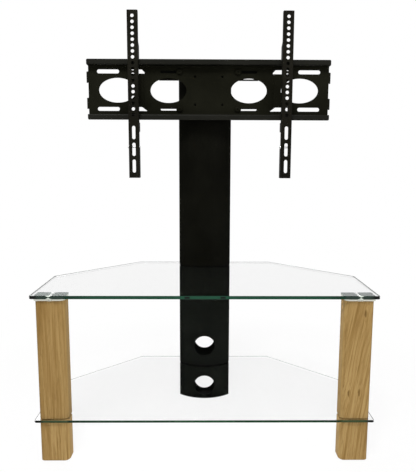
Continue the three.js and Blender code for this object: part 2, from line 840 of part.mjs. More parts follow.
// Bolt, washer and nut at one of the four fixing places of the plate.
function plateBolt(name, side, row) {
  const panelFront = plateBack - sheet;
  const headBack = panelFront - washerThickness;
  const nutFront = plateBack + headBarDepth;
  const shankEnd = nutFront + plateNutHeight;
  const headProfile = new THREE.Shape();
  const headRadius = plateBoltHeadDiameter / 2;
  headProfile.moveTo(0, 0);
  headProfile.lineTo(headRadius, 0);
  headProfile.lineTo(headRadius, plateBoltHeadHeight * plateBoltRimShare);
  headProfile.quadraticCurveTo(headRadius, plateBoltHeadHeight, 0, plateBoltHeadHeight);
  const turned = new THREE.LatheGeometry(headProfile.getPoints(curveSteps), holeSteps);
  const head = solid(turned.rotateX(Math.PI)).translate(0, headBack, 0);
  const socket = barBack(
    hexagonSpan(plateBoltSocketWidth),
    plateBoltSocketDepth + overrun,
    hexagonSides,
  );
  const shank = barBack(plateBoltDiameter, shankEnd - headBack + clearance);
  const bolt = head
    .add(shank.translate(0, headBack - clearance, 0))
    .subtract(socket.translate(0, headBack - plateBoltHeadHeight - overrun, 0));
  const hole = (length, front) =>
    barBack(plateBoltDiameter + 2 * clearance, length + 2 * overrun).translate(0, front - overrun, 0);
  const washer = barBack(washerDiameter, washerThickness).translate(0, headBack, 0);
  const nut = barBack(hexagonSpan(plateNutWidth), plateNutHeight, hexagonSides);
  const made = group(
    piece("plate_bolt_" + name, bolt, finishes.greyBlackSteel),
    piece(
      "plate_washer_" + name,
      washer.subtract(hole(washerThickness, headBack)),
      finishes.greyBlackSteel,
    ),
    piece(
      "plate_nut_" + name,
      nut.translate(0, nutFront, 0).subtract(hole(plateNutHeight, nutFront)),
      finishes.zincSteel,
    ),
  );
  made.position.set(
    mountSideShift + (side * plateBoltSpacing) / 2,
    0,
    mountHeight + (row * slotRowSpacing) / 2,
  );
  return made;
}

// An arm's flange from the side. Y starts at the arm's front face, Z at its top.
function armProfile() {
  const notchTop = -armRise;
  const notchBack = armDeep - tongueThickness;
  const r = armCornerRadius;
  return roundedOutline([
    [0, 0, 0],
    [armTopDepth, 0, r],
    [armTopDepth, -armTopDepthEnd, 0],
    [armDeep, -armTopDepthEnd - armShoulderRun, r],
    [armDeep, notchTop - tongueDrop, sheet],
    [notchBack, notchTop - tongueDrop, sheet],
    [notchBack, notchTop, 0],
    [armRailDepth, notchTop, 0],
    [armRailDepth, -armFootStart, 0],
    [armDeep, -armFootStart, sheet],
    [armDeep, -armFootEnd, r],
    [armNeckDepth, -armFootEnd, 0],
    [armNeckDepth, -armNeckEnd, 0],
    [armTailDepth, -armNeckEnd, r],
    [armTailDepth, -armLength, r],
    [0, -armLength, 0],
  ]);
}

function armBody() {
  let arm = prismAcross(armProfile(), armWidth);
  const inside = rectangle(sheet, armDeep + overrun, -armLength - overrun, overrun);
  arm = arm.subtract(prismAcross(inside, armWidth - 2 * sheet));
  const cut = sheet + 2 * overrun;
  for (let i = 0; i < armHoleCount; i++) {
    const height = -firstArmHole - i * armHolePitch;
    arm = arm.subtract(barBack(armHoleDiameter, cut, armHoleSteps).translate(0, -overrun, height));
  }
  for (let i = 0; i < armSlotCount; i++) {
    const middle = -firstArmSlot - i * armSlotPitch;
    const half = armHoleDiameter / 2;
    const reach = armSlotLength / 2;
    const outline = rectangle(
      -half,
      half,
      middle - reach,
      middle + reach,
      armHoleDiameter * roundEndShare,
    );
    arm = arm.subtract(prismBack(outline, cut, -overrun));
  }
  const screwHole = barAcross(lockScrewDiameter + 2 * clearance, armWidth + 2 * overrun);
  return arm.subtract(screwHole.translate(-armWidth / 2 - overrun, ...lockScrewCentre));
}

// The lock plate from the side, in the arm's own frame: a stem with a slot for the screw, a foot,
// and a hook that rises behind the lower rail.
function lockPlate() {
  const screwReach = lockScrewDiameter / 2 + clearance;
  const stemFront = sheet + clearance;
  const stemBack = armNeckDepth - clearance;
  const hookFront = armDeep - tongueThickness;
  const hookBack = armDeep - clearance;
  const low = -lockScrewDrop - screwReach - lockEdge;
  const footLow = -armFootEnd;
  const footHigh = -armFootStart;
  const outline = roundedOutline([
    [stemFront, low, sheet],
    [stemBack, low, sheet],
    [stemBack, footLow, 0],
    [hookBack, footLow, sheet],
    [hookBack, footHigh + lockHookRise, sheet],
    [hookFront, footHigh + lockHookRise, sheet],
    [hookFront, footHigh, 0],
    [stemFront, footHigh, sheet],
  ]);
  const [screwY, screwZ] = lockScrewCentre;
  const slot = rectangle(
    screwY - screwReach,
    screwY + screwReach,
    screwZ - screwReach,
    screwZ + screwReach + lockTravel,
  );
  const middle = armWidth / 2 - sheet - clearance - lockThickness / 2;
  return prismAcross(outline, lockThickness, middle).subtract(
    prismAcross(slot, lockThickness + 2 * overrun, middle),
  );
}

function arm(name, place) {
  const outside = armWidth / 2;
  const headLeft = -outside - lockScrewHeadHeight;
  const head = barAcross(lockScrewHeadDiameter, lockScrewHeadHeight);
  const shank = barAcross(lockScrewDiameter, outside + lockScrewEndReach - headLeft);
  const screw = head.add(shank).translate(headLeft, ...lockScrewCentre);
  const made = group(
    piece("arm_" + name, armBody(), finishes.greyBlackSteel),
    piece("lock_plate_" + name, lockPlate(), finishes.blackSteel),
    piece("lock_screw_" + name, screw, finishes.zincSteel),
  );
  made.position.set(place, armFront, mountHeight + armTop);
  return made;
}

const stand = group(
  shelves(),
  leg("left", -1),
  leg("right", 1),
  column(),
  headBar("head_bar_upper", upperBarWidth, upperBarHeight, upperBarHeightPlace, (bar) =>
    bar.subtract(barOpening()),
  ),
  headBar("head_bar_lower", lowerBarWidth, lowerBarHeight, lowerBarHeightPlace, (bar) =>
    bar.add(barStrip()),
  ),
  headBolt("upper_left", -1, upperBarHeightPlace),
  headBolt("upper_right", 1, upperBarHeightPlace),
  headBolt("lower_left", -1, lowerBarHeightPlace),
  headBolt("lower_right", 1, lowerBarHeightPlace),
  mountPlate(),
  plateBolt("upper_left", -1, 1),
  plateBolt("upper_right", 1, 1),
  plateBolt("lower_left", -1, -1),
  plateBolt("lower_right", 1, -1),
  arm("left", leftArmPlace),
  arm("right", rightArmPlace),
);
stand.name = "tv_stand_with_mount";

export default stand;
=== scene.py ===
"""The looks of a television stand: glass shelves, oak legs, a steel column and a screen mount.

Every length in this file is in millimetres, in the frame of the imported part: X to the right,
Y from the front to the back, Z up from the floor. Meshes are scaled to metres as they are made,
and the finishes, which read places in the scene, are in metres.
"""

import json
import logging
import math
from dataclasses import dataclass, field
from enum import Enum, IntEnum
from typing import Callable, ClassVar, Sequence

import bpy
import numpy as np
from mathutils import Matrix, Vector
from mathutils.geometry import delaunay_2d_cdt

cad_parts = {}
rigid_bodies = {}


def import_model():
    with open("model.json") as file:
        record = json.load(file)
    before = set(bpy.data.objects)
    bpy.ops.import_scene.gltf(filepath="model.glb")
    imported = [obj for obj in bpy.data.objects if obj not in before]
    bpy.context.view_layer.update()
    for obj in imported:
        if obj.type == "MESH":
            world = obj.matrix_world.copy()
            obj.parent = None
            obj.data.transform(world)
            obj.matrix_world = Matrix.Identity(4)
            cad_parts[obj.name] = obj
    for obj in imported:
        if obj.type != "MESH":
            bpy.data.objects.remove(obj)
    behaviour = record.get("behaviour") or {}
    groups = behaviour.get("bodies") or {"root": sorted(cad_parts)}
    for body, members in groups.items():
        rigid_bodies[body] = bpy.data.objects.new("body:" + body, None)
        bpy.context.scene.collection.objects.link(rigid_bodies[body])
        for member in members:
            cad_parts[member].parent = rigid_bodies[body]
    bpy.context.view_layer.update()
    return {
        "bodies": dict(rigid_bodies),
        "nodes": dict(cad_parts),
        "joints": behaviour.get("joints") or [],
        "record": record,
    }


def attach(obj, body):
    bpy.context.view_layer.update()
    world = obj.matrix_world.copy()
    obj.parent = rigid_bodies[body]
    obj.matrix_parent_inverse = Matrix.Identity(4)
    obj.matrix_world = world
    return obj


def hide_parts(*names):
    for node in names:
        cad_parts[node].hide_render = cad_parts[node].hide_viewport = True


Array = np.ndarray
Span = tuple[float, float]
Corner = tuple[float, float, float]
Colour = tuple[float, float, float, float]
log = logging.getLogger("tv_stand")

MILLIMETRE = 0.001
SHARP_ANGLE = math.radians(32)
CONTACT_GAP = 0.05
TINY = 1e-12
BACKWARDS = (0, 1, 0)

# Places that several sub-assemblies share: the mount's middle, its rows and the members it hangs on
MOUNT_X = 10
MOUNT_Z = 902
ROW_RISE = 50
PLATE_BOLT_X = 80
SPINE_X = 48
LEG_X = 355.75
LEG_Y = -180.5
CAP_TOP = 399


class Side(Enum):
    """The left or the right half of the stand."""

    LEFT = -1
    RIGHT = 1

    @property
    def word(self) -> str:
        """The side's name as it stands in the names of the pieces."""
        return self.name.lower()


class Row(Enum):
    """The lower or the upper row of fixings on the mount plate."""

    LOWER = -1
    UPPER = 1

    @property
    def word(self) -> str:
        """The row's name as it stands in the names of the pieces."""
        return self.name.lower()


class Frame(Enum):
    """Which world axes a piece's own plane uses: across, away (the sheet's normal side) and along."""

    FLAT = ((1, 0, 0), (0, 0, 1), (0, 1, 0))
    UPRIGHT = ((1, 0, 0), (0, 1, 0), (0, 0, 1))
    SIDEWAYS = ((0, 1, 0), (0, 0, 1), (1, 0, 0))
    EDGEWAYS = ((0, 1, 0), (1, 0, 0), (0, 0, 1))

    @property
    def axes(self) -> Array:
        """The three axes as the rows of an array."""
        return np.array(self.value, float)


class GlassPart(IntEnum):
    """The number of the finish of each part of a shelf."""

    PANE = 0
    FRONT_EDGE = 1
    ARRIS = 2
    SEALED = 3
    OVER_LEG = 4


# Outlines in a plane


def unit(vectors: Array) -> Array:
    """Vectors of length one, along the last axis."""
    return vectors / np.maximum(np.linalg.norm(vectors, axis=-1, keepdims=True), TINY)


def signed_area(loop: Array) -> float:
    """Area of a closed outline, positive when it runs counter-clockwise (the shoelace sum)."""
    ahead = np.roll(loop, -1, axis=0)
    return float(0.5 * np.sum(loop[:, 0] * ahead[:, 1] - ahead[:, 0] * loop[:, 1]))


def turned(loop: Array, clockwise: bool) -> Array:
    """The outline run in the asked direction."""
    return loop[::-1] if (signed_area(loop) < 0) != clockwise else loop


def mitres(incoming: Array, outgoing: Array) -> Array:
    """Offsets of corners for a unit distance: the sum of two side normals over one plus their product.

    Args:
        incoming: unit normals of the sides that end in each corner.
        outgoing: unit normals of the sides that start in each corner.

    Returns:
        One vector for each corner, held to twice the distance and a little more at sharp corners.
    """
    smallest = 0.25
    product = np.sum(incoming * outgoing, axis=1, keepdims=True)
    return (incoming + outgoing) / np.maximum(1 + product, smallest)


def offset_loop(loop: Array, distance: float) -> Array:
    """Moves each side of a closed outline along its normal and joins the sides again by mitres.

    Args:
        loop: the outline.
        distance: how far each side moves to its right, which is outwards if counter-clockwise.

    Returns:
        The moved outline.
    """
    ahead = unit(np.roll(loop, -1, axis=0) - loop)
    normals = np.stack([ahead[:, 1], -ahead[:, 0]], axis=1)
    return loop + distance * mitres(np.roll(normals, 1, axis=0), normals)


def arc(centre: Span, radius: float, start: float, end: float, steps: int) -> Array:
    """Points of a circle's arc: centre + radius * (cos a, sin a) for a from start to end."""
    angles = np.linspace(start, end, steps + 1)
    return np.array(centre) + radius * np.stack([np.cos(angles), np.sin(angles)], axis=1)


def ellipse(x: float, y: float, width: float, height: float, steps: int = 64) -> Array:
    """A closed ellipse: centre + (width / 2 * cos a, height / 2 * sin a) for a full turn of a."""
    angles = np.linspace(0, 2 * math.pi, steps, endpoint=False)
    return np.stack([x + width / 2 * np.cos(angles), y + height / 2 * np.sin(angles)], axis=1)


def rounded(corners: list[Corner], closed: bool = True, steps: int = 8) -> Array:
    """A line of straight sides whose corners are arcs, each of the radius given for it.

    At each corner the arc's centre lies on the halving line, radius / sin(half angle) away, and the
    arc runs between the two points where it touches the sides.

    Args:
        corners: place and radius of each corner.
        closed: whether the last corner is joined to the first.
        steps: sides of each arc.

    Returns:
        The points of the line.
    """
    places = np.array([c[:2] for c in corners], float)
    runs = []
    for i, (x, y, radius) in enumerate(corners):
        is_end = not closed and i in (0, len(corners) - 1)
        if radius <= 0 or is_end:
            runs.append(np.array([[x, y]], float))
            continue
        here = places[i]
        before = unit(places[i - 1] - here)
        after = unit(places[(i + 1) % len(places)] - here)
        half = math.acos(float(np.clip(before @ after, -1, 1))) / 2
        centre = here + unit(before + after) * radius / math.sin(half)
        reach = radius / math.tan(half)
        first = here + before * reach - centre
        last = here + after * reach - centre
        start = math.atan2(first[1], first[0])
        sweep = math.atan2(last[1], last[0]) - start
        sweep = (sweep + math.pi) % (2 * math.pi) - math.pi
        runs.append(arc(tuple(centre), radius, start, start + sweep, steps))
    return np.concatenate(runs)


def box(left: float, right: float, low: float, high: float, radius: float = 0) -> Array:
    """A rectangle with rounded corners."""
    return rounded([(left, low, radius), (right, low, radius), (right, high, radius), (left, high, radius)])


def long_hole(x: float, y: float, width: float, height: float) -> Array:
    """A slot with round ends about a middle; the ends' radius is just under half the narrow side."""
    radius = min(width, height) * 0.495
    return box(x - width / 2, x + width / 2, y - height / 2, y + height / 2, radius)


def inside(points: Array, loops: list[Array]) -> Array:
    """Tells which points lie inside outlines: a ray to the right then crosses an odd number of sides.

    Args:
        points: the places to test.
        loops: outlines and the holes in them.

    Returns:
        One truth value for each point.
    """
    crossings = np.zeros(len(points), int)
    for loop in loops:
        start, end = loop, np.roll(loop, -1, axis=0)
        rise = end[:, 1] - start[:, 1]
        rise = np.where(np.abs(rise) < TINY, TINY, rise)
        spans = (start[:, 1] > points[:, 1:2]) != (end[:, 1] > points[:, 1:2])
        at = start[:, 0] + (points[:, 1:2] - start[:, 1]) * (end[:, 0] - start[:, 0]) / rise
        crossings += np.sum(spans & (points[:, 0:1] < at), axis=1)
    return crossings % 2 == 1


# Meshes


@dataclass
class Shape:
    """A mesh before it goes into Blender: points in millimetres, faces, and a finish number for each."""

    points: Array
    faces: list[list[int]]
    slots: list[int] = field(default_factory=list)

    def joined(self, *others: "Shape") -> "Shape":
        """Puts this shape and others into one mesh, each still a closed shell of its own.

        Args:
            others: the shapes to add.

        Returns:
            The mesh of them all, with each shape's face numbers raised by the points before it.
        """
        points, faces, slots = [self.points], list(self.faces), list(self.slots)
        count = len(self.points)
        for other in others:
            faces += [[i + count for i in face] for face in other.faces]
            slots += other.slots
            points.append(other.points)
            count += len(other.points)
        return Shape(np.concatenate(points), faces, slots)

    def moved(self, x: float = 0, y: float = 0, z: float = 0) -> "Shape":
        """The shape at another place."""
        return Shape(self.points + np.array([x, y, z], float), self.faces, self.slots)

    def outward(self) -> "Shape":
        """Turns the faces outwards where the volume, the sum of a * (b x c) over triangles, is negative.

        Returns:
            This shape.
        """
        fans = [(f[0], f[i], f[i + 1]) for f in self.faces for i in range(1, len(f) - 1)]
        a, b, c = (self.points[[t[k] for t in fans]] for k in range(3))
        if float(np.sum(a * np.cross(b, c))) < 0:
            self.faces = [face[::-1] for face in self.faces]
        return self


@dataclass(frozen=True)
class Path:
    """The middle line of a bent sheet, seen from the end, with the length at which zero lies."""

    line: Array
    zero: float = 0.0

    @property
    def lengths(self) -> Array:
        """The length along the line at each of its points, counted from zero."""
        steps = np.linalg.norm(np.diff(self.line, axis=0), axis=1)
        return np.concatenate([[0.0], np.cumsum(steps)]) - self.zero

    @property
    def normals(self) -> Array:
        """Finds the mitred normal at each point, so that offset lines stay parallel to the sides.

        Returns:
            The normals.
        """
        ahead = unit(np.diff(self.line, axis=0))
        sides = np.stack([ahead[:, 1], -ahead[:, 0]], axis=1)
        return mitres(np.vstack([sides[:1], sides]), np.vstack([sides, sides[-1:]]))

    def at(self, lengths: Array) -> tuple[Array, Array]:
        """Finds places along the line by linear steps between its points.

        Args:
            lengths: how far along, counted from zero.

        Returns:
            The points and the normals there.
        """
        known = self.lengths
        i = np.clip(np.searchsorted(known, lengths) - 1, 0, len(known) - 2)
        share = ((lengths - known[i]) / (known[i + 1] - known[i]))[:, None]
        points = self.line[i] * (1 - share) + self.line[i + 1] * share
        normals = self.normals[i] * (1 - share) + self.normals[i + 1] * share
        return points, normals


def centred(line: Array) -> Path:
    """The path of a bent sheet whose zero is at half its length."""
    return Path(line, float(np.linalg.norm(np.diff(line, axis=0), axis=1).sum()) / 2)


@dataclass(frozen=True)
class Blank:
    """A sheet before it is bent: its outline, its holes, and lines where its mesh needs points."""

    outline: Array
    holes: tuple[Array, ...] = ()
    creases: tuple[Array, ...] = ()
    join_distance: ClassVar[float] = 1e-4
    smallest_area: ClassVar[float] = 1e-7

    def triangles(self, path: Path, inset: float) -> tuple[Array, Array]:
        """Fills the blank with triangles that don't cross the bends of the path.

        The outline, the holes, the creases and a line at each bend are the fixed sides of a Delaunay
        mesh. A triangle is kept where its middle lies inside the outline and outside the holes.

        Args:
            path: the way that the sheet is bent.
            inset: how far the filled part stays inside the edges, which leaves room for the chamfer.

        Returns:
            Points (length along the path, place across it) and triangles.
        """
        edges = [turned(self.outline, False)] + [turned(h, True) for h in self.holes]
        loops = [offset_loop(edge, -inset) for edge in edges]
        low, high = self.outline.min(axis=0), self.outline.max(axis=0)
        bends = [s for s in path.lengths[1:-1] if low[0] + inset < s < high[0] - inset]
        lines = [np.array([[s, low[1]], [s, high[1]]]) for s in bends]
        points, sides, count = [], [], 0
        closed = loops + list(self.creases)
        for k, run in enumerate(closed + lines):
            number = np.arange(len(run)) + count
            pairs = np.stack([number, np.roll(number, -1)], axis=1)
            sides.append(pairs if k < len(closed) else pairs[:-1])
            points.append(run)
            count += len(run)
        given = [Vector(p) for p in np.concatenate(points).tolist()]
        found = delaunay_2d_cdt(given, np.concatenate(sides).tolist(), [], 0, self.join_distance)
        places = np.array([tuple(p) for p in found[0]], float)
        corners = np.array(found[2], int)
        a, b, c = places[corners[:, 0]], places[corners[:, 1]], places[corners[:, 2]]
        along, across = b - a, c - a
        area = np.abs(along[:, 0] * across[:, 1] - along[:, 1] * across[:, 0])
        kept = corners[inside((a + b + c) / 3, loops) & (area > self.smallest_area)]
        used = np.unique(kept)
        renumber = np.zeros(len(places), int)
        renumber[used] = np.arange(len(used))
        return places[used], renumber[kept]


Bend = Callable[[Array, Array, Array], Array]


@dataclass(frozen=True)
class Sheet:
    """A plate or bent sheet of even thickness with chamfered edges.

    A point of the blank goes to path(s) + h * normal(s) + t * along, where h is half the thickness
    on one face and minus half on the other. The edges have a ring of their own, a chamfer lower.
    """

    blank: Blank
    path: Path
    thickness: float
    frame: Frame
    chamfer: float = 0.3
    bend: Bend | None = None

    def built(self, x: float = 0, y: float = 0, z: float = 0) -> Shape:
        """Makes the sheet: two faces, and between their rims two chamfers and a wall.

        Args:
            x: place of the sheet's own zero to the right.
            y: place of its zero towards the back.
            z: place of its zero upwards.

        Returns:
            The closed shape.
        """
        flat, kept = self.blank.triangles(self.path, self.chamfer)
        count = len(flat)
        directed = np.concatenate([kept[:, [0, 1]], kept[:, [1, 2]], kept[:, [2, 0]]])
        keys = directed[:, 0] * count + directed[:, 1]
        rim = directed[~np.isin(keys, directed[:, 1] * count + directed[:, 0])]
        ahead = unit(flat[rim[:, 1]] - flat[rim[:, 0]])
        side = np.stack([ahead[:, 1], -ahead[:, 0]], axis=1)
        incoming, outgoing = np.zeros((count, 2)), np.zeros((count, 2))
        outgoing[rim[:, 0]] = side
        incoming[rim[:, 1]] = side
        border = np.unique(rim)
        outer = flat[border] + self.chamfer * mitres(incoming[border], outgoing[border])
        half = self.thickness / 2
        low = half - self.chamfer
        layers = [(flat, half), (outer, low), (outer, -low), (flat, -half)]
        points = np.concatenate([self.lifted(spots, height) for spots, height in layers])
        ring = np.zeros(count, int)
        ring[border] = np.arange(len(border))
        starts = [ring[rim] + count, ring[rim] + count + len(border)]
        bottom = rim + count + 2 * len(border)
        faces = kept.tolist() + (kept[:, ::-1] + count + 2 * len(border)).tolist()
        for above, below in ((rim, starts[0]), (starts[0], starts[1]), (starts[1], bottom)):
            walls = np.stack([above[:, 1], above[:, 0], below[:, 0], below[:, 1]], axis=1)
            faces += walls.tolist()
        return Shape(points, faces, [0] * len(faces)).outward().moved(x, y, z)

    def lifted(self, spots: Array, height: float) -> Array:
        """Carries points of the blank to the bent sheet: path(s) + height * normal(s) + t * along.

        Args:
            spots: places on the blank, s along the path and t across it.
            height: distance from the sheet's middle.

        Returns:
            The places in space.
        """
        across, away, along = self.frame.axes
        middle, normal = self.path.at(spots[:, 0])
        flat = middle - height * normal
        points = flat[:, :1] * across + flat[:, 1:] * away + spots[:, 1:] * along
        return points if self.bend is None else self.bend(spots, points, along)


@dataclass(frozen=True)
class Ring:
    """One outline of a turned piece: its radius, its height, and its number of flats, or 0 if round."""

    radius: float
    height: float
    flats: int = 0


@dataclass(frozen=True)
class Turned:
    """A piece turned about an axis: rings joined from the first to the last.

    A ring's point at angle a is radius * (cos a, sin a); with flats, the radius at a is
    radius / cos(a's distance from the middle of its flat), so radius is half the width over flats.
    """

    rings: tuple[Ring, ...]
    axis: tuple[int, int, int] = (0, 0, 1)
    hollow: bool = False
    steps: int = 48

    def built(self, x: float, y: float, z: float) -> Shape:
        """Makes the piece; a solid one gets a centre point at each end, a hollow one closes on itself.

        Args:
            x: place of the piece's own zero to the right.
            y: place of its zero towards the back.
            z: place of its zero upwards.

        Returns:
            The closed shape.
        """
        angles = np.linspace(0, 2 * math.pi, self.steps, endpoint=False)
        radii = np.array([r.radius for r in self.rings])[:, None] * np.ones(self.steps)
        for k, ring in enumerate(self.rings):
            if ring.flats:
                wedge = 2 * math.pi / ring.flats
                radii[k] /= np.cos((angles + wedge / 2) % wedge - wedge / 2)
        heights = np.array([r.height for r in self.rings])[:, None] * np.ones(self.steps)
        axis = np.array(self.axis, float)
        right = np.array([0.0, 0.0, 1.0]) if self.axis[0] else np.array([1.0, 0.0, 0.0])
        up = np.cross(axis, right)
        turned_in = (radii * np.cos(angles))[..., None] * right + (radii * np.sin(angles))[..., None] * up
        points = (turned_in + heights[..., None] * axis).reshape(-1, 3)
        index = np.arange(points.shape[0]).reshape(len(self.rings), self.steps)
        below = index if self.hollow else index[:-1]
        above = np.roll(index, -1, axis=0) if self.hollow else index[1:]
        ahead = (np.roll(below, -1, axis=1), np.roll(above, -1, axis=1))
        quads = np.stack([below, ahead[0], ahead[1], above], axis=-1).reshape(-1, 4)
        faces = quads.tolist()
        if not self.hollow:
            ends = [self.rings[0].height * axis, self.rings[-1].height * axis]
            first, last, count = index[0], index[-1], len(points)
            points = np.vstack([points, *ends])
            centre = np.full(self.steps, count)
            faces += np.stack([np.roll(first, -1), first, centre], axis=1).tolist()
            faces += np.stack([last, np.roll(last, -1), centre + 1], axis=1).tolist()
        return Shape(points, faces, [0] * len(faces)).outward().moved(x, y, z)


def circle(x: float, y: float, across: float, sides: int = 64) -> Array:
    """A round hole about a middle."""
    return ellipse(x, y, across, across, sides)


def rings(*spots: tuple[float, ...]) -> tuple[Ring, ...]:
    """Rings from the radius, the height and, where it has flats, their number."""
    return tuple(Ring(*spot) for spot in spots)


def flat(blank: Blank, thickness: float, chamfer: float, frame: Frame = Frame.FLAT) -> Sheet:
    """Makes a plate without bends, so the lengths of its path are the blank's own coordinates.

    Args:
        blank: its outline and its holes.
        thickness: of the plate.
        chamfer: of its edges.
        frame: the way it stands, level if not given.

    Returns:
        The sheet.
    """
    low, high = float(blank.outline[:, 0].min()), float(blank.outline[:, 0].max())
    path = Path(np.array([[low, 0.0], [high, 0.0]]), -low)
    return Sheet(blank, path, thickness, frame, chamfer)


# Shader maths


class Value:
    """A number that a shader works out: wraps a socket, and an operator adds a Math node."""

    def __init__(self, tree: "Tree", socket: bpy.types.NodeSocket) -> None:
        """Keeps the socket and the tree that new nodes go into."""
        self.tree = tree
        self.socket = socket

    def math(self, operation: str, *others: "Value | float") -> "Value":
        """A Math node with this value first."""
        inputs = dict(enumerate([self, *others]))
        return self.tree.node("ShaderNodeMath", {"operation": operation}, inputs)["Value"]

    def __add__(self, other: "Value | float") -> "Value":
        """This value plus another."""
        return self.math("ADD", other)

    __radd__ = __add__

    def __mul__(self, other: "Value | float") -> "Value":
        """This value times another."""
        return self.math("MULTIPLY", other)

    __rmul__ = __mul__

    def __sub__(self, other: "Value | float") -> "Value":
        """This value less another."""
        return self.math("SUBTRACT", other)

    def __rsub__(self, other: float) -> "Value":
        """A number less this value."""
        return self * -1.0 + other

    def __abs__(self) -> "Value":
        """This value without its sign."""
        return self.math("ABSOLUTE")

    def step(self, low: float, high: float) -> "Value":
        """Turns the value into a share that is 0 at low, 1 at high and smooth between.

        Args:
            low: where the share is 0.
            high: where it is 1; below low, the share falls as the value grows.

        Returns:
            The share.
        """
        ends = {"From Min": min(low, high), "From Max": max(low, high)}
        settings = {"interpolation_type": "SMOOTHSTEP"}
        rising = self.tree.node("ShaderNodeMapRange", settings, {"Value": self, **ends})["Result"]
        return rising if high >= low else 1.0 - rising


class Node:
    """A shader node whose outputs are read by name or number."""

    def __init__(self, tree: "Tree", node: bpy.types.Node) -> None:
        """Keeps the node."""
        self.tree = tree
        self.node = node

    def __getitem__(self, output: str | int) -> Value:
        """One output as a value."""
        return Value(self.tree, self.node.outputs[output])


Input = Value | float | tuple[float, ...]


class Tree:
    """The node tree of a material or of the world, emptied to begin with."""

    # The Mix node's sockets for colours: its factor, its two colours and its result
    mix_factor: ClassVar[int] = 0
    mix_start: ClassVar[int] = 6
    mix_end: ClassVar[int] = 7
    mix_result: ClassVar[int] = 2

    def __init__(self, owner: bpy.types.Material | bpy.types.World) -> None:
        """Empties the owner's tree and keeps both.

        Args:
            owner: the material or the world.
        """
        owner.use_nodes = True
        self.owner = owner
        self.nodes = owner.node_tree.nodes
        self.links = owner.node_tree.links
        self.nodes.clear()

    @classmethod
    def named(cls, name: str) -> "Tree":
        """The tree of a new material."""
        return cls(bpy.data.materials.new(name))

    def node(self, kind: str, settings: dict[str, object], inputs: dict[str | int, Input]) -> Node:
        """Adds one node.

        Args:
            kind: the node's type.
            settings: its own settings, which are set first.
            inputs: values or links of its sockets, by name or number.

        Returns:
            The node.
        """
        made = self.nodes.new(kind)
        for name, value in settings.items():
            setattr(made, name, value)
        for name, value in inputs.items():
            if isinstance(value, Value):
                self.links.new(value.socket, made.inputs[name])
            else:
                made.inputs[name].default_value = value
        return Node(self, made)

    def place(self) -> Value:
        """A point's place in the frame of the part, in metres."""
        return self.node("ShaderNodeTexCoord", {}, {})["Object"]

    def parts(self, vector: Value) -> tuple[Value, Value, Value]:
        """The X, Y and Z of a vector."""
        split = self.node("ShaderNodeSeparateXYZ", {}, {"Vector": vector})
        return split["X"], split["Y"], split["Z"]

    def stretched(self, vector: Value, scale: Corner, centre: Corner = (0, 0, 0)) -> Value:
        """Scales a place by the axes about a centre, through a Mapping node.

        Args:
            vector: the place.
            scale: the factor along each axis.
            centre: the place that becomes zero.

        Returns:
            (place - centre) * scale.
        """
        shift = tuple(-c * s for c, s in zip(centre, scale))
        inputs = {"Vector": vector, "Location": shift, "Scale": scale}
        return self.node("ShaderNodeMapping", {}, inputs)["Vector"]

    def noise(self, vector: Value, scale: float, detail: float = 2.0, roughness: float = 0.5) -> Value:
        """Soft noise between 0 and 1."""
        inputs = {"Vector": vector, "Scale": scale, "Detail": detail, "Roughness": roughness}
        return self.node("ShaderNodeTexNoise", {}, inputs)["Fac"]

    def grain(
        self,
        vector: Value,
        scale: Corner,
        centre: Corner = (0, 0, 0),
        detail: float = 2.0,
        roughness: float = 0.5,
    ) -> Value:
        """Noise over a stretched place, as for fibres: a large factor across them, a small one along."""
        return self.noise(self.stretched(vector, scale, centre), 1.0, detail, roughness)

    def blend(self, amount: Value | float, start: Input, end: Input) -> Value:
        """Mixes two colours: start where the amount is 0, end where it is 1."""
        inputs = {self.mix_factor: amount, self.mix_start: start, self.mix_end: end}
        return self.node("ShaderNodeMix", {"data_type": "RGBA"}, inputs)[self.mix_result]

    def layered(self, base: Input, *layers: tuple[Value, Input]) -> Value:
        """Lays colours over a base, one after the other.

        Args:
            base: the colour below them all.
            layers: for each, how much of it shows, and its colour.

        Returns:
            The colour.
        """
        for amount, tone in layers:
            base = self.blend(amount, base, tone)
        return base

    def bump(self, height: Value, strength: float, distance: float) -> Value:
        """A normal that follows a height, with its depth in metres."""
        inputs = {"Height": height, "Strength": strength, "Distance": distance}
        return self.node("ShaderNodeBump", {}, inputs)["Normal"]

    def sight(self) -> Value:
        """Tells the rays that see the room: from the camera, off gloss, or through glass.

        Returns:
            1 for these rays and 0 for all others.
        """
        rays = self.node("ShaderNodeLightPath", {}, {})
        straight_or_gloss = rays["Is Camera Ray"].math("MAXIMUM", rays["Is Glossy Ray"])
        return straight_or_gloss.math("MAXIMUM", rays["Is Transmission Ray"])

    def surface(self, inputs: dict[str, Input]) -> bpy.types.Material:
        """Ends the tree with a Principled shader.

        Args:
            inputs: values or links of the shader's sockets.

        Returns:
            The material.
        """
        shader = self.node("ShaderNodeBsdfPrincipled", {}, inputs)
        self.node("ShaderNodeOutputMaterial", {}, {"Surface": shader["BSDF"]})
        return self.owner


def colour(red: int, green: int, blue: int) -> Colour:
    """Turns a colour seen on a screen into the linear colour that a shader takes.

    Each share s of 255 becomes s / 12.92 where dark, and ((s + 0.055) / 1.055) ** 2.4 elsewhere.

    Args:
        red: 0 to 255.
        green: 0 to 255.
        blue: 0 to 255.

    Returns:
        The linear red, green and blue, and 1.
    """
    shares = np.array([red, green, blue]) / 255
    linear = np.where(shares <= 0.04045, shares / 12.92, ((shares + 0.055) / 1.055) ** 2.4)
    return (*(float(v) for v in linear), 1.0)


# Finishes


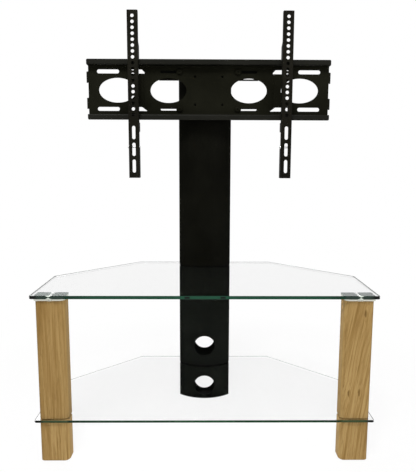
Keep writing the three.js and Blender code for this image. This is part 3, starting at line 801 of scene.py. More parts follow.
@dataclass(frozen=True)
class PowderCoat:
    """Black powder coat on steel, with a fine orange-peel grain."""

    name: str
    slot: str
    dark: Colour
    light: Colour
    roughness: float = 0.46
    shine: float = 0.012
    cloud_scale: ClassVar[float] = 9
    grain_scale: ClassVar[float] = 1500
    grain_share: ClassVar[float] = 0.3
    grain_depth: ClassVar[float] = 0.00004
    spread: ClassVar[float] = 0.12

    def material(self) -> bpy.types.Material:
        """Builds the finish: clouds and specks mix the two blacks, and the specks are the relief.

        Returns:
            The material.
        """
        tree = Tree.named(self.name)
        place = tree.place()
        cloud = tree.noise(place, self.cloud_scale, detail=3)
        speck = tree.noise(place, self.grain_scale, detail=2)
        tone = (cloud * (1 - self.grain_share) + speck * self.grain_share).step(0.3, 0.7)
        return tree.surface(
            {
                "Base Color": tree.blend(tone, self.dark, self.light),
                "Roughness": cloud * self.spread + (self.roughness - self.spread / 2),
                "Specular IOR Level": self.shine,
                "Normal": tree.bump(speck, strength=0.35, distance=self.grain_depth),
            }
        )


@dataclass(frozen=True)
class Oak:
    """Lacquered oak veneer with an upright grain, for the leg whose middle is at a place.

    Lengths are in metres. The lean is the slope of the grain, the shift moves the pattern so that
    no two pieces are alike, the darkening makes the whole piece darker, and a knot is given by its X and Z.
    """

    name: str
    middle: float
    lean: float
    shift: float
    age: float = 0.06
    knots: tuple[Span, ...] = ()
    slot: ClassVar[str] = "oak"
    pale: ClassVar[Colour] = colour(172, 144, 94)
    tan: ClassVar[Colour] = colour(156, 127, 79)
    brown: ClassVar[Colour] = colour(120, 90, 46)
    dark: ClassVar[Colour] = colour(92, 66, 32)
    # side is painted light for the inner side, which the lamps leave dim.
    side: ClassVar[Colour] = colour(190, 157, 100)
    rings_per_metre: ClassVar[float] = 230
    ring_slant: ClassVar[float] = 0.6
    knot_reach: ClassVar[float] = 0.034
    knot_flatness: ClassVar[float] = 14
    knot_push: ClassVar[float] = 2.6
    outer_edge: ClassVar[Span] = (0.0295, 0.0337)
    inner_edge: ClassVar[Span] = (-0.0285, -0.033)
    shine: ClassVar[float] = 0.03
    relief: ClassVar[float] = 0.0001

    def growth(
        self, tree: Tree, place: Value, spot: tuple[Value, Value, Value], across: Value
    ) -> tuple[Value, Value | float]:
        """Draws the growth rings: the slanted distance times rings per metre, bent by noise.

        A knot pushes the rings aside within its reach and is dark at its ragged middle.

        Args:
            tree: the finish's tree.
            place: the point's place.
            spot: its X, Y and Z.
            across: its distance to the right of the grain line through the leg's middle.

        Returns:
            A value that swings between 0 and 1 from ring to ring, and the darkness of the knots.
        """
        x, y, z = spot
        waves = tree.grain(place, (9, 9, 2.2), (self.shift, 0, 0))
        bow = tree.grain(place, (22, 22, 5.0), (self.shift, 0, 0))
        ragged = tree.grain(place, (240, 240, 60), (self.shift, 1, 0), detail=3, roughness=0.6)
        ring = (across + y * self.ring_slant) * self.rings_per_metre + waves * 10 + bow * 4
        eyes: Value | float = 0.0
        for knot_x, knot_z in self.knots:
            beside = abs(x - knot_x).math("POWER", 2.0) * self.knot_flatness
            away = (beside + abs(z - knot_z).math("POWER", 2.0)).math("SQRT")
            near = away.step(self.knot_reach, 0.0)
            ring = ring + near * self.knot_push
            eyes = (near + ragged * 0.5).step(0.99, 1.2) + eyes
        return ring.math("PINGPONG", 1.0), eyes

    def material(self) -> bpy.types.Material:
        """Builds the finish: rings, fine fibres, streaks, pores, broad tones and the odd knot, with painted
        shade at the outer edges and painted light on the inner side.

        Returns:
            The material.
        """
        tree = Tree.named(self.name)
        place = tree.place()
        x, y, z = tree.parts(place)
        across = x - self.middle + z * self.lean
        along = tree.node("ShaderNodeCombineXYZ", {}, {"X": across, "Y": y, "Z": z})["Vector"]
        bands, eyes = self.growth(tree, place, (x, y, z), across)
        fibres = tree.grain(along, (420, 420, 10), detail=3, roughness=0.65)
        streaks = tree.grain(along, (110, 110, 4), (self.shift, 0, 0), detail=3, roughness=0.6)
        pores = tree.grain(along, (1300, 1300, 42), (0, 0, self.shift), detail=1)
        broad = tree.grain(place, (14, 14, 1.4), (self.shift, 0, 3))
        early = bands.step(0.1, 0.95) * 0.5 + streaks.step(0.6, 0.4) * 0.5
        late = (bands.step(0.16, 0.02) * fibres.step(0.25, 0.6)) * 0.3
        outwards = abs(x) - abs(self.middle)
        base = tree.layered(
            self.tan,
            (early, self.pale),
            (fibres.step(0.44, 0.7) * 0.5, self.brown),
            (streaks.step(0.5, 0.72) * 0.6, self.brown),
            (broad.step(0.45, 0.72) * 0.3 + self.age, self.brown),
            (late, self.brown),
            (pores.step(0.61, 0.7) * 0.4, self.dark),
            # Painted shade on the outer rounded edges, and painted light on the inner side to offset its
            # shading.
            (outwards.step(*self.outer_edge) * 0.5, self.brown),
            (outwards.step(*self.inner_edge) * 0.42, self.side),
        )
        if self.knots:
            base = tree.blend((eyes * 0.8).math("MINIMUM", 0.7), base, self.dark)
        height = fibres * 0.6 + pores.step(0.7, 0.6)
        return tree.surface(
            {
                "Base Color": base,
                "Roughness": fibres * 0.15 + 0.42,
                "Specular IOR Level": self.shine,
                "Normal": tree.bump(height, strength=0.3, distance=self.relief),
            }
        )


@dataclass(frozen=True)
class ClearGlass:
    """Float glass seen through its faces: nearly clear, with the faintest smears."""

    name: str
    bending: float
    clearness: float
    smears: ClassVar[float] = 0.008
    slot: ClassVar[str] = "clear_glass"

    def material(self) -> bpy.types.Material:
        """Builds the finish: a faint grey filter, with as weak a mirror image as in the photograph.

        Returns:
            The material.
        """
        tree = Tree.named(self.name)
        smear = tree.noise(tree.place(), scale=6, detail=2)
        dull = self.clearness - self.smears / 2
        bright = self.clearness + self.smears / 2
        return tree.surface(
            {
                "Base Color": tree.blend(smear, (dull, dull, dull, 1), (bright, bright, bright, 1)),
                "Roughness": 0.0,
                "Transmission Weight": 1.0,
                "IOR": self.bending,
                "Specular Tint": (0, 0, 0, 1),
            }
        )


@dataclass(frozen=True)
class Arris:
    """The edges of a shelf but its front: grey near the upper face, and at the sides grey all over and
    painted darker as shade.

    The top is the height of the upper face and the reach how far down the grey goes, in metres.
    """

    name: str
    top: float
    reach: float
    slot: ClassVar[str] = "clear_glass"
    grey: ClassVar[Colour] = colour(98, 118, 108)
    pale: ClassVar[Colour] = colour(126, 144, 134)
    dark: ClassVar[Colour] = colour(30, 42, 36)
    side_cover: ClassVar[float] = 0.85
    side_from: ClassVar[Span] = (0.3958, 0.3964)
    dark_from: ClassVar[Span] = (0.36, 0.40)

    def material(self) -> bpy.types.Material:
        """Builds the finish: its cover grows over the lowest fifth of the reach and at the sides.

        Returns:
            The material.
        """
        tree = Tree.named(self.name)
        place = tree.place()
        x, _, z = tree.parts(place)
        mottle = tree.noise(place, scale=40) * 0.6
        # Painted shade towards the sides of the shelf.
        beside = abs(x).step(*self.dark_from) * 0.9
        base = tree.layered(self.grey, (mottle, self.pale), (beside, self.dark))
        cover = z.step(self.top - self.reach, self.top - self.reach * 0.8)
        cover = cover.math("MAXIMUM", abs(x).step(*self.side_from) * self.side_cover)
        inputs = {"Base Color": base, "Alpha": cover, "Roughness": 0.4, "Specular IOR Level": 0.2}
        return tree.surface(inputs)


@dataclass(frozen=True)
class GlassEdge:
    """The polished front edge of a shelf, which shows the green depth of the glass.

    The glass's own green is overlaid with painted light that changes with the distance from the
    middle: a painted lighter stretch before the column, two painted dark spots where dark parts
    behind show through, then green, then the painted shade before the legs, the painted image of
    each leg behind the edge and the painted shade of the ends. The arrises away from mid-height
    are painted darker than the core. Over each leg the edge with the dark spots also has a painted
    glint, narrow at mid-height. Lengths are in metres.
    """

    name: str
    middle: float
    core_reach: float
    light: Colour
    green: Colour
    rim: Colour
    # The painted image of the leg behind, seen through the edge.
    before_leg: Colour
    end: Colour
    marks: float
    slot: ClassVar[str] = "clear_glass"
    glint_colour: ClassVar[Colour] = (0.62, 0.68, 0.6, 1)
    mark_x: ClassVar[float] = 0.041
    glint_x: ClassVar[float] = 0.3558
    column_end: ClassVar[Span] = (0.074, 0.068)
    dimmer_from: ClassVar[Span] = (0.26, 0.31)
    leg_from: ClassVar[Span] = (0.318, 0.324)
    end_from: ClassVar[Span] = (0.375, 0.39)

    def material(self) -> bpy.types.Material:
        """Builds the finish from steps of the distance from the middle and from mid-height.

        Returns:
            The material.
        """
        tree = Tree.named(self.name)
        place = tree.place()
        x, _, z = tree.parts(place)
        away = abs(x)
        off = abs(z - self.middle)
        drift = tree.grain(place, (30, 1, 1))
        # Painted dark spots near mid-height, where dark parts behind the edge show through.
        painted_dark_spot = abs(away - self.mark_x).step(0.0075, 0.0045) * off.step(0.0026, 0.002) * self.marks
        # Painted glint: a painted highlight over each leg, wide at the top and bottom and narrow at
        # mid-height.
        glint = (off - abs(away - self.glint_x) * 0.5).step(0.0003, 0.0009) * self.marks
        # Painted light over the glass's own green and its random drift: the lighter stretch before the
        # column, painted shade towards the legs and at the arrises, the painted dark spots, the painted
        # image of each leg, the painted shade of the ends and the painted glint.
        base = tree.layered(
            self.green,
            (drift * 0.5, self.light),
            (away.step(*self.column_end) * 0.8, self.light),
            (away.step(*self.dimmer_from) * 0.7, self.rim),
            (off.step(self.core_reach * 0.5, self.core_reach) * 0.7, self.rim),
            (painted_dark_spot, self.end),
            (away.step(*self.leg_from), self.before_leg),
            (away.step(*self.end_from), self.end),
            (glint, self.glint_colour),
        )
        inputs = {"Base Color": base, "Roughness": drift * 0.1 + 0.2, "Specular IOR Level": 0.1}
        return tree.surface(inputs)


@dataclass(frozen=True)
class SpunMetal:
    """Bright metal with fine grooves round the middle of its own leg, and a painted highlight across.

    Its top is painted dark as a painted reflection of dark surroundings, with painted shade beside
    the highlight, and its upright sides are painted bright as if lit. The place and the height of the
    top face are in metres.
    """

    name: str
    x: float
    y: float
    top: float
    slot: ClassVar[str] = "brushed_metal"
    # Painted light: dark is the top as a painted reflection, outer the painted shade beside the highlight,
    # white the painted highlight and rim the sides painted as lit; light gives the grooves' streaks.
    dark: ClassVar[Colour] = (0.005, 0.01, 0.008, 1)
    light: ClassVar[Colour] = (0.15, 0.18, 0.165, 1)
    outer: ClassVar[Colour] = (0.02, 0.03, 0.027, 1)
    white: ClassVar[Colour] = (0.95, 0.95, 0.93, 1)
    rim: ClassVar[Colour] = (0.62, 0.62, 0.55, 1)
    grazing_tint: ClassVar[Colour] = (0.6, 0.68, 0.64, 1)
    groove_scale: ClassVar[float] = 1800
    streak_scale: ClassVar[float] = 210
    flash_slope: ClassVar[float] = 0.22
    flash_width: ClassVar[float] = 0.003
    groove_depth: ClassVar[float] = 0.00008

    def material(self) -> bpy.types.Material:
        """Builds the finish: noise of the distance from the middle, as height and as tone.

        The painted highlight is where |right| is less than the slope times |back|, so it widens from the
        middle.

        Returns:
            The material.
        """
        tree = Tree.named(self.name)
        right, back, height = tree.parts(tree.stretched(tree.place(), (1, 1, 1), (self.x, self.y, 0)))
        away = (right * right + back * back).math("SQRT")
        point = tree.node("ShaderNodeCombineXYZ", {}, {"X": away})["Vector"]
        grooves = tree.noise(point, self.groove_scale, detail=3, roughness=0.7)
        streaks = tree.noise(point, self.streak_scale, detail=2, roughness=0.6)
        # Painted highlight in place of the spun metal's bow-tie reflection.
        painted_highlight = (abs(right) - abs(back) * self.flash_slope).step(self.flash_width, 0.0)
        upright = height.step(self.top - 0.0012, self.top - 0.0022)
        base = tree.layered(
            self.dark,
            (grooves * 0.4 + streaks.step(0.42, 0.6) * 0.6, self.light),
            (abs(right).step(0.006, 0.036) * 0.6, self.outer),
            (painted_highlight, self.white),
            (upright, self.rim),
        )
        return tree.surface(
            {
                "Base Color": base,
                "Metallic": 1.0 - painted_highlight,
                "Roughness": grooves * 0.12 + 0.2,
                "Specular Tint": self.grazing_tint,
                "Normal": tree.bump(grooves, strength=0.5, distance=self.groove_depth),
            }
        )


@dataclass(frozen=True)
class Zinc:
    """Zinc plate on bolts and nuts, slightly mottled."""

    name: str = "zinc_plate"
    slot: ClassVar[str] = "zinc_steel"
    dull: ClassVar[Colour] = (0.42, 0.43, 0.44, 1)
    bright: ClassVar[Colour] = (0.68, 0.68, 0.67, 1)
    mottle_scale: ClassVar[float] = 260
    grain_scale: ClassVar[float] = 1900
    grain_depth: ClassVar[float] = 0.00003

    def material(self) -> bpy.types.Material:
        """Builds the finish: one noise mixes two greys, a finer one is the relief.

        Returns:
            The material.
        """
        tree = Tree.named(self.name)
        place = tree.place()
        mottle = tree.noise(place, self.mottle_scale, detail=3)
        grain = tree.noise(place, self.grain_scale, detail=2)
        return tree.surface(
            {
                "Base Color": tree.blend(mottle, self.dull, self.bright),
                "Metallic": 0.95,
                "Roughness": mottle * 0.2 + 0.28,
                "Normal": tree.bump(grain, strength=0.2, distance=self.grain_depth),
            }
        )


@dataclass(frozen=True)
class SoftBlack:
    """Black rubber or plastic with a matt, slightly dusty skin."""

    name: str
    slot: str
    shade: Colour
    dust: Colour
    roughness: float = 0.72
    shine: ClassVar[float] = 0.05
    film_scale: ClassVar[float] = 35
    grain_scale: ClassVar[float] = 1100
    grain_depth: ClassVar[float] = 0.00005
    spread: ClassVar[float] = 0.15

    def material(self) -> bpy.types.Material:
        """Builds the finish: a film of dust over the shade, and a fine relief.

        Returns:
            The material.
        """
        tree = Tree.named(self.name)
        place = tree.place()
        film = tree.noise(place, self.film_scale, detail=4)
        grain = tree.noise(place, self.grain_scale, detail=2)
        return tree.surface(
            {
                "Base Color": tree.blend(film.step(0.4, 0.8), self.shade, self.dust),
                "Roughness": film * self.spread + (self.roughness - 0.07),
                "Specular IOR Level": self.shine,
                "Normal": tree.bump(grain, strength=0.25, distance=self.grain_depth),
            }
        )


Finish = PowderCoat | Oak | ClearGlass | Arris | GlassEdge | SpunMetal | Zinc | SoftBlack


def linked(name: str, data: bpy.types.ID) -> bpy.types.Object:
    """Puts a new object into the scene.

    Args:
        name: its name.
        data: its mesh, lamp or camera.

    Returns:
        The object.
    """
    made = bpy.data.objects.new(name, data)
    bpy.context.scene.collection.objects.link(made)
    return made


class Workshop:
    """Turns shapes into finished Blender pieces and keeps each finish once."""

    def __init__(self) -> None:
        """Starts with no finish made."""
        self.made: dict[str, bpy.types.Material] = {}

    def finish(self, finish: Finish) -> bpy.types.Material:
        """Gives the material of a finish, made at its first use.

        Args:
            finish: the finish.

        Returns:
            The material, the same one each time.
        """
        if finish.name not in self.made:
            self.made[finish.name] = finish.material()
        return self.made[finish.name]

    def piece(self, shape: Shape, node: str, body: str, finish: Finish, *more: Finish) -> bpy.types.Object:
        """Makes the piece that stands for one CAD node.

        Args:
            shape: its mesh.
            node: the CAD node that it replaces.
            body: the CAD body that it moves with.
            finish: its finish.
            more: further finishes, for the faces with a higher number.

        Returns:
            The new object.
        """
        mesh = bpy.data.meshes.new(node)
        mesh.from_pydata(shape.points * MILLIMETRE, [], shape.faces)
        mesh.polygons.foreach_set("material_index", np.array(shape.slots, np.int32))
        for each in (finish, *more):
            mesh.materials.append(self.finish(each))
        mesh.shade_smooth()
        mesh.set_sharp_from_angle(angle=SHARP_ANGLE)
        mesh.update()
        made = linked("look_" + node, mesh)
        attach(made, body)
        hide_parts(node)
        log.info("%s: %d faces, moves with %s", made.name, len(shape.faces), body)
        return made

    def dress(self, node: bpy.types.Object, finish: Finish) -> None:
        """Gives a CAD node that keeps its own mesh a finish.

        Args:
            node: the CAD node.
            finish: its finish.
        """
        node.data.materials.clear()
        node.data.materials.append(self.finish(finish))
        log.info("%s: keeps its own shape", node.name)


UPPER_COAT = PowderCoat("upper_column_coat", "black_steel", colour(9, 9, 6), colour(16, 16, 12))
COLUMN_COAT = PowderCoat("column_coat", "black_steel", colour(17, 19, 16), colour(24, 26, 23))
BAR_COAT = PowderCoat("bar_coat", "black_steel", colour(8, 9, 7), colour(15, 15, 13), 0.5)
PLATE_COAT = PowderCoat("plate_coat", "mount_steel", colour(16, 16, 10), colour(25, 25, 18), 0.5)
RAIL_COAT = PowderCoat("rail_coat", "mount_steel", colour(15, 15, 10), colour(23, 23, 18), 0.4, 0.08)
ARM_COAT = PowderCoat("arm_coat", "mount_steel", colour(19, 18, 14), colour(28, 27, 22), 0.5)
LOCK_COAT = PowderCoat("lock_coat", "black_steel", colour(20, 20, 18), colour(32, 32, 29), 0.5)
CAP_PLASTIC = SoftBlack("cap_plastic", "black_plastic", colour(20, 20, 18), colour(32, 32, 30), 0.6)
RUBBER = SoftBlack("black_rubber", "rubber", colour(6, 6, 6), colour(14, 14, 13))
ZINC = Zinc()
TOP_GLASS = ClearGlass("top_float_glass", bending=1.15, clearness=0.9)
LOWER_GLASS = ClearGlass("lower_float_glass", bending=1.01, clearness=0.94)
LEG_GLASS = ClearGlass("leg_float_glass", bending=1.5, clearness=0.94)
TOP_ARRIS = Arris("top_glass_arris", top=0.407, reach=0.0045)
LOWER_ARRIS = Arris("lower_glass_arris", top=0.107, reach=0.0015)
# The colours of the front edges: green is the glass's own; light, rim, end and the leg image are painted
# light, and only the top edge has the painted dark spots and glint.
TOP_EDGE = GlassEdge(
    "top_glass_edge",
    middle=0.403,
    core_reach=0.004,
    light=colour(27, 68, 50),
    green=colour(22, 62, 44),
    rim=colour(14, 38, 28),
    before_leg=colour(40, 52, 46),
    end=colour(12, 16, 14),
    marks=1.0,
)
LOWER_EDGE = GlassEdge(
    "lower_glass_edge",
    middle=0.104,
    core_reach=0.003,
    light=colour(34, 68, 44),
    green=colour(20, 48, 30),
    rim=colour(14, 34, 22),
    before_leg=colour(50, 64, 40),
    end=colour(12, 16, 14),
    marks=0.0,
)
POST_OAK = {
    Side.LEFT: Oak("oak_left", -LEG_X * MILLIMETRE, lean=0.012, shift=0.4, age=0.32),
    Side.RIGHT: Oak(
        "oak_right",
        LEG_X * MILLIMETRE,
        lean=-0.16,
        shift=3.1,
        knots=((0.3628, 0.171), (0.3385, 0.170), (0.370, 0.363)),
    ),
}
FOOT_OAK = {
    Side.LEFT: Oak("oak_foot_left", -LEG_X * MILLIMETRE, lean=0.006, shift=2.2),
    Side.RIGHT: Oak("oak_foot_right", LEG_X * MILLIMETRE, lean=-0.08, shift=5.7),
}
CAP_METAL = {
    side: SpunMetal(
        "spun_metal_" + side.word,
        side.value * LEG_X * MILLIMETRE,
        LEG_Y * MILLIMETRE,
        CAP_TOP * MILLIMETRE,
    )
    for side in Side
}


# Sub-assemblies


@dataclass(frozen=True)
class Shelves:
    """The two glass shelves: straight front, back corners cut off, openings inside the column.

    The leg zone is given by how far from the middle it begins and how far back it ends.
    """

    width: float = 800
    depth: float = 415
    corner_cut: float = 205
    corner_radius: float = 5
    top_height: float = 407
    top_thickness: float = 8
    lower_height: float = 107
    lower_thickness: float = 6
    arris: float = 0.9
    plug_arris: float = 0.1
    bed_inset: float = 1.95
    leg_zone: Span = (321.4, -165)
    bolt_hole: float = 16.6

    def outline(self) -> Array:
        """Draws the six corners, each rounded.

        Returns:
            The outline.
        """
        side, end, cut, r = self.width / 2, self.depth / 2, self.corner_cut, self.corner_radius
        front = [(-side, -end, r), (side, -end, r)]
        back = [(side, end - cut, r), (side - cut, end, r), (cut - side, end, r), (-side, end - cut, r)]
        return rounded(front + back)

    def parts(self, shelf: Shape, bed: Array, zones: Sequence[Array], middle: float) -> list[int]:
        """Finds the part of the glass that each face of a shelf belongs to.

        Walls are the faces with four corners. Over a leg only those at the shelf's side are arris.

        Args:
            shelf: the shelf without the plug.
            bed: the outline that the gaskets cover.
            zones: the outlines over the legs.
            middle: the height at half the thickness.

        Returns:
            The number of the finish of each face.
        """
        near = self.arris * 1.5
        front = shelf.points[:, 1] < near - self.depth / 2
        side = np.abs(shelf.points[:, 0]) > self.width / 2 - near
        centres = np.array([shelf.points[face].mean(axis=0) for face in shelf.faces])
        bedded = inside(centres[:, :2], [offset_loop(bed, self.arris)])
        legs = inside(centres[:, :2], list(zones))
        at_front = np.array([front[face].all() for face in shelf.faces])
        at_side = np.array([side[face].all() for face in shelf.faces])
        wall = np.array([len(face) == 4 for face in shelf.faces])
        tests = [bedded, at_front, wall & (at_side | ~legs), legs & (centres[:, 2] > middle)]
        parts = [GlassPart.SEALED, GlassPart.FRONT_EDGE, GlassPart.ARRIS, GlassPart.OVER_LEG]
        return np.select(tests, parts, GlassPart.PANE).tolist()

    def plate(self, height: float, thickness: float, holes: Sequence[Array]) -> Shape:
        """Makes one shelf, a hair thinner than its bed so that its faces don't lie in those they touch.

        The part between the gaskets is a shell of its own, dark from the rubber on both its faces.

        Args:
            height: of the upper face.
            thickness: of the glass.
            holes: openings beside the bed.

        Returns:
            The shelf, with a finish number on each face.
        """
        column = Column()
        place = np.array([0, column.front])
        bed = column.plan(self.bed_inset, column.depth - self.bed_inset) + place
        passages = tuple(loop + place for loop in column.passages())
        thin = thickness - 2 * CONTACT_GAP
        middle = height - thickness / 2
        sealed = Blank(offset_loop(bed, -CONTACT_GAP), passages)
        plug = flat(sealed, thin, self.plug_arris).built(z=middle)
        plug.slots = [GlassPart.SEALED] * len(plug.faces)
        x, y = self.leg_zone
        far = self.width
        zones = (box(-far, -x, -far, y), box(x, far, -far, y))
        blank = Blank(self.outline(), (bed, *holes), zones)
        made = flat(blank, thin, self.arris).built(z=middle)
        made.slots = self.parts(made, bed, zones, middle)
        return made.joined(plug)

    def build(self, shop: Workshop) -> None:
        """Makes both shelves.

        Args:
            shop: what finishes the pieces.
        """
        bolts = [circle(side.value * LEG_X, LEG_Y, self.bolt_hole) for side in Side]
        top = self.plate(self.top_height, self.top_thickness, [])
        lower = self.plate(self.lower_height, self.lower_thickness, bolts)
        shop.piece(top, "top_glass", "stand", TOP_GLASS, TOP_EDGE, TOP_ARRIS, RUBBER, TOP_GLASS)
        shop.piece(lower, "lower_glass", "stand", LOWER_GLASS, LOWER_EDGE, LOWER_ARRIS, RUBBER, LEG_GLASS)


@dataclass(frozen=True)
class Leg:
    """An oak leg: foot, post and metal cap, with the pad under it.

    The margins of the cap and the pad are how far they stand out at front and back, at the outer
    side and at the inner side.
    """

    side: Side
    width: float = 67.5
    depth: float = 38
    inner_radius: float = 13
    outer_radius: float = 8
    back_radius: float = 1.5
    pad_top: float = 2
    lower_glass: Span = (101, 107)
    cap_bottom: float = 393
    edge: float = 0.4
    cap_edge: float = 0.7
    cap_margins: Corner = (2, 4, 1)
    pad_margins: Corner = (-3, -3, -3)
    arc_steps: int = 14

    def outline(self, face: float = 0, outer: float = 0, inner: float = 0) -> Array:
        """Draws the leg's plan about its own middle.

        Args:
            face: how far it stands out at front and back.
            outer: how far at the side away from the stand's middle.
            inner: how far at the other side.

        Returns:
            The outline.
        """
        sign = self.side.value
        front, back = -self.depth / 2 - face, self.depth / 2 + face
        near, far = -sign * (self.width / 2 + inner), sign * (self.width / 2 + outer)
        inner_radius = self.inner_radius + min(face, inner)
        outer_radius = self.outer_radius + min(face, outer)
        fore = [(near, front, inner_radius), (far, front, outer_radius)]
        rear = [(far, back, self.back_radius), (near, back, self.back_radius)]
        return rounded(fore + rear, steps=self.arc_steps)

    def block(self, outline: Array, low: float, high: float, edge: float) -> Shape:
        """An upright block between two heights, with eased edges."""
        sheet = flat(Blank(outline), high - low, edge)
        return sheet.built(self.side.value * LEG_X, LEG_Y, (low + high) / 2)

    def build(self, shop: Workshop) -> None:
        """Makes the foot, the post, the cap and the pad.

        Args:
            shop: what finishes the pieces.
        """
        word, plan = self.side.word, self.outline()
        low, high = self.lower_glass
        foot = self.block(plan, self.pad_top, low, self.edge)
        post = self.block(plan, high, self.cap_bottom, self.edge)
        cap = self.block(self.outline(*self.cap_margins), self.cap_bottom, CAP_TOP, self.cap_edge)
        pad = self.block(self.outline(*self.pad_margins), 0, self.pad_top, self.edge)
        shop.piece(foot, "leg_foot_" + word, "stand", FOOT_OAK[self.side])
        shop.piece(post, "leg_post_" + word, "stand", POST_OAK[self.side])
        shop.piece(cap, "leg_cap_" + word, "stand", CAP_METAL[self.side])
        shop.piece(pad, "foot_pad_" + word, "stand", RUBBER)


@dataclass(frozen=True)
class Column:
    """The steel column: three curved shells with flat covers, gaskets at the glass, and a cap.

    Spans are from the lower to the upper end. A tube's opening is given by its half width, its span
    from front to back and its corner radius, and the rim of the cap by its inset and its back, for
    its outer side and for its hollow.
    """

    width: float = 148.5
    depth: float = 52.6
    front: float = 134.9
    arc_radius: float = 109.55
    wall: float = 2
    shoulder: float = 3
    clearance: float = 0.3
    edge: float = 0.35
    lip: float = 8
    lip_front: float = 48.3
    lip_edge: float = 0.2
    foot: Span = (2, 100)
    middle: Span = (108, 398)
    upper: Span = (408, 964)
    cable_hole: float = 60
    foot_hole: float = 42.5
    middle_hole: float = 166
    middle_back_hole: float = 172.5
    upper_hole: float = 804
    spacer_hole: float = 16.6
    bars: Span = (852, 949)
    tube_reach: float = 10.8
    tube_span: Span = (19.7, 46.3)
    tube_radius: float = 2.8
    cable_passage: float = 36
    gaskets: tuple[float, ...] = (100, 107, 398, 407)
    gasket_inset: float = 1
    gasket_height: float = 1
    gasket_edge: float = 0.15
    cap_thickness: float = 3
    cap_edge: float = 0.8
    rim_height: float = 6
    rim_outside: Span = (2.3, 48)
    rim_hollow: Span = (4.3, 46)
    rim_edge: float = 0.2
    arc_steps: int = 40
    shoulder_steps: int = 6

    def front_arc(self, radius: float, swing: float) -> Array:
        """The front's arc at a radius, which reaches as far as an angle on both sides."""
        start, end = -math.pi / 2 - swing, -math.pi / 2 + swing
        return arc((0, self.arc_radius), radius, start, end, self.arc_steps)

    def path(self) -> Path:
        """Draws the shell's middle line: side, shoulder, wide front arc, shoulder, side.

        The front is an arc about a point behind the column. Each shoulder is a small arc that touches
        it from inside and the side, so its centre lies on the line from the front arc's centre.

        Returns:
            The line, with zero in the middle of the front.
        """
        half = self.width / 2 - self.wall / 2
        radius = self.arc_radius - self.wall / 2
        small_x = half - self.shoulder
        reach = radius - self.shoulder
        small_y = self.arc_radius - math.sqrt(reach**2 - small_x**2)
        swing = math.atan2(small_x, self.arc_radius - small_y)
        front = self.front_arc(radius, swing)
        start = swing - math.pi / 2
        bend = arc((small_x, small_y), self.shoulder, start, 0, self.shoulder_steps)[1:]
        mirror = np.array([-1, 1])
        end = np.array([[half, self.depth]])
        return centred(np.concatenate([end * mirror, bend[::-1] * mirror, front, bend, end]))

    def wrapped(self, loop: Array) -> Array:
        """An outline seen from the front as it lies on the curved sheet: s = radius * asin(x / radius)."""
        radius = self.arc_radius - self.wall / 2
        return np.stack([radius * np.arcsin(loop[:, 0] / radius), loop[:, 1]], axis=1)

    def shell(self, low: float, high: float, holes: Sequence[Array]) -> Shape:
        """Makes the curved front of a section, with the two strips that its cover rests on.

        Args:
            low: height of its lower end.
            high: height of its upper end.
            holes: its openings, seen from the front.

        Returns:
            The shell and the strips.
        """
        path = self.path()
        end = float(path.lengths[-1])
        blank = Blank(box(-end, end, low, high), tuple(self.wrapped(h) for h in holes))
        body = Sheet(blank, path, self.wall, Frame.UPRIGHT, self.edge).built(y=self.front)
        outer = self.width / 2 - self.wall
        strips = []
        for side in Side:
            left, right = sorted((side.value * (outer - self.lip), side.value * outer))
            outline = box(left, right, low + self.lip_edge, high - self.lip_edge)
            strip = flat(Blank(outline), self.wall, self.lip_edge, Frame.UPRIGHT)
            strips.append(strip.built(y=self.front + self.lip_front + self.wall / 2))
        return body.joined(*strips)

    def cover(self, low: float, high: float, hole: Array) -> Shape:
        """Makes the flat back of a section.

        Args:
            low: height of its lower end.
            high: height of its upper end.
            hole: its opening for cables.

        Returns:
            The cover.
        """
        half = self.width / 2 - self.wall - self.clearance
        blank = Blank(box(-half, half, low, high), (hole,))
        sheet = flat(blank, self.wall, self.edge, Frame.UPRIGHT)
        return sheet.built(y=self.front + self.depth - self.wall / 2)

    def plan(self, inset: float, back: float) -> Array:
        """Draws the D of the column: the outer arc moved inwards, two shoulders and a straight back.

        Args:
            inset: how far the arc and the sides are moved inwards.
            back: how far behind the column's front the straight side lies.

        Returns:
            The outline about the middle of the column's front.
        """
        side = self.width / 2 - inset
        radius = self.arc_radius - inset
        front = self.front_arc(radius, math.asin(side / radius))
        return np.concatenate([front, np.array([[side, back], [-side, back]])])

    def passages(self) -> list[Array]:
        """Draws the openings for the two spine tubes and the cables.

        Returns:
            The openings, about the middle of the column's front.
        """
        tubes = [
            box(x - self.tube_reach, x + self.tube_reach, *self.tube_span, self.tube_radius)
            for x in (-SPINE_X, SPINE_X)
        ]
        return [*tubes, circle(0, self.depth / 2, self.cable_passage)]

    def layer(self, plan: Array, low: float, high: float, edge: float, *holes: Array) -> Shape:
        """A level layer of the column between two heights."""
        sheet = flat(Blank(plan, holes), high - low, edge)
        return sheet.built(y=self.front, z=(low + high) / 2)

    def cap(self) -> Shape:
        """Makes the lid with the rim that holds it inside the column.

        Returns:
            The cap.
        """
        base = self.upper[1]
        lid = self.layer(self.plan(0, self.depth), base, base + self.cap_thickness, self.cap_edge)
        rim, hollow = self.plan(*self.rim_outside), self.plan(*self.rim_hollow)
        low, high = base - self.rim_height, base - CONTACT_GAP
        return lid.joined(self.layer(rim, low, high, self.rim_edge, hollow))

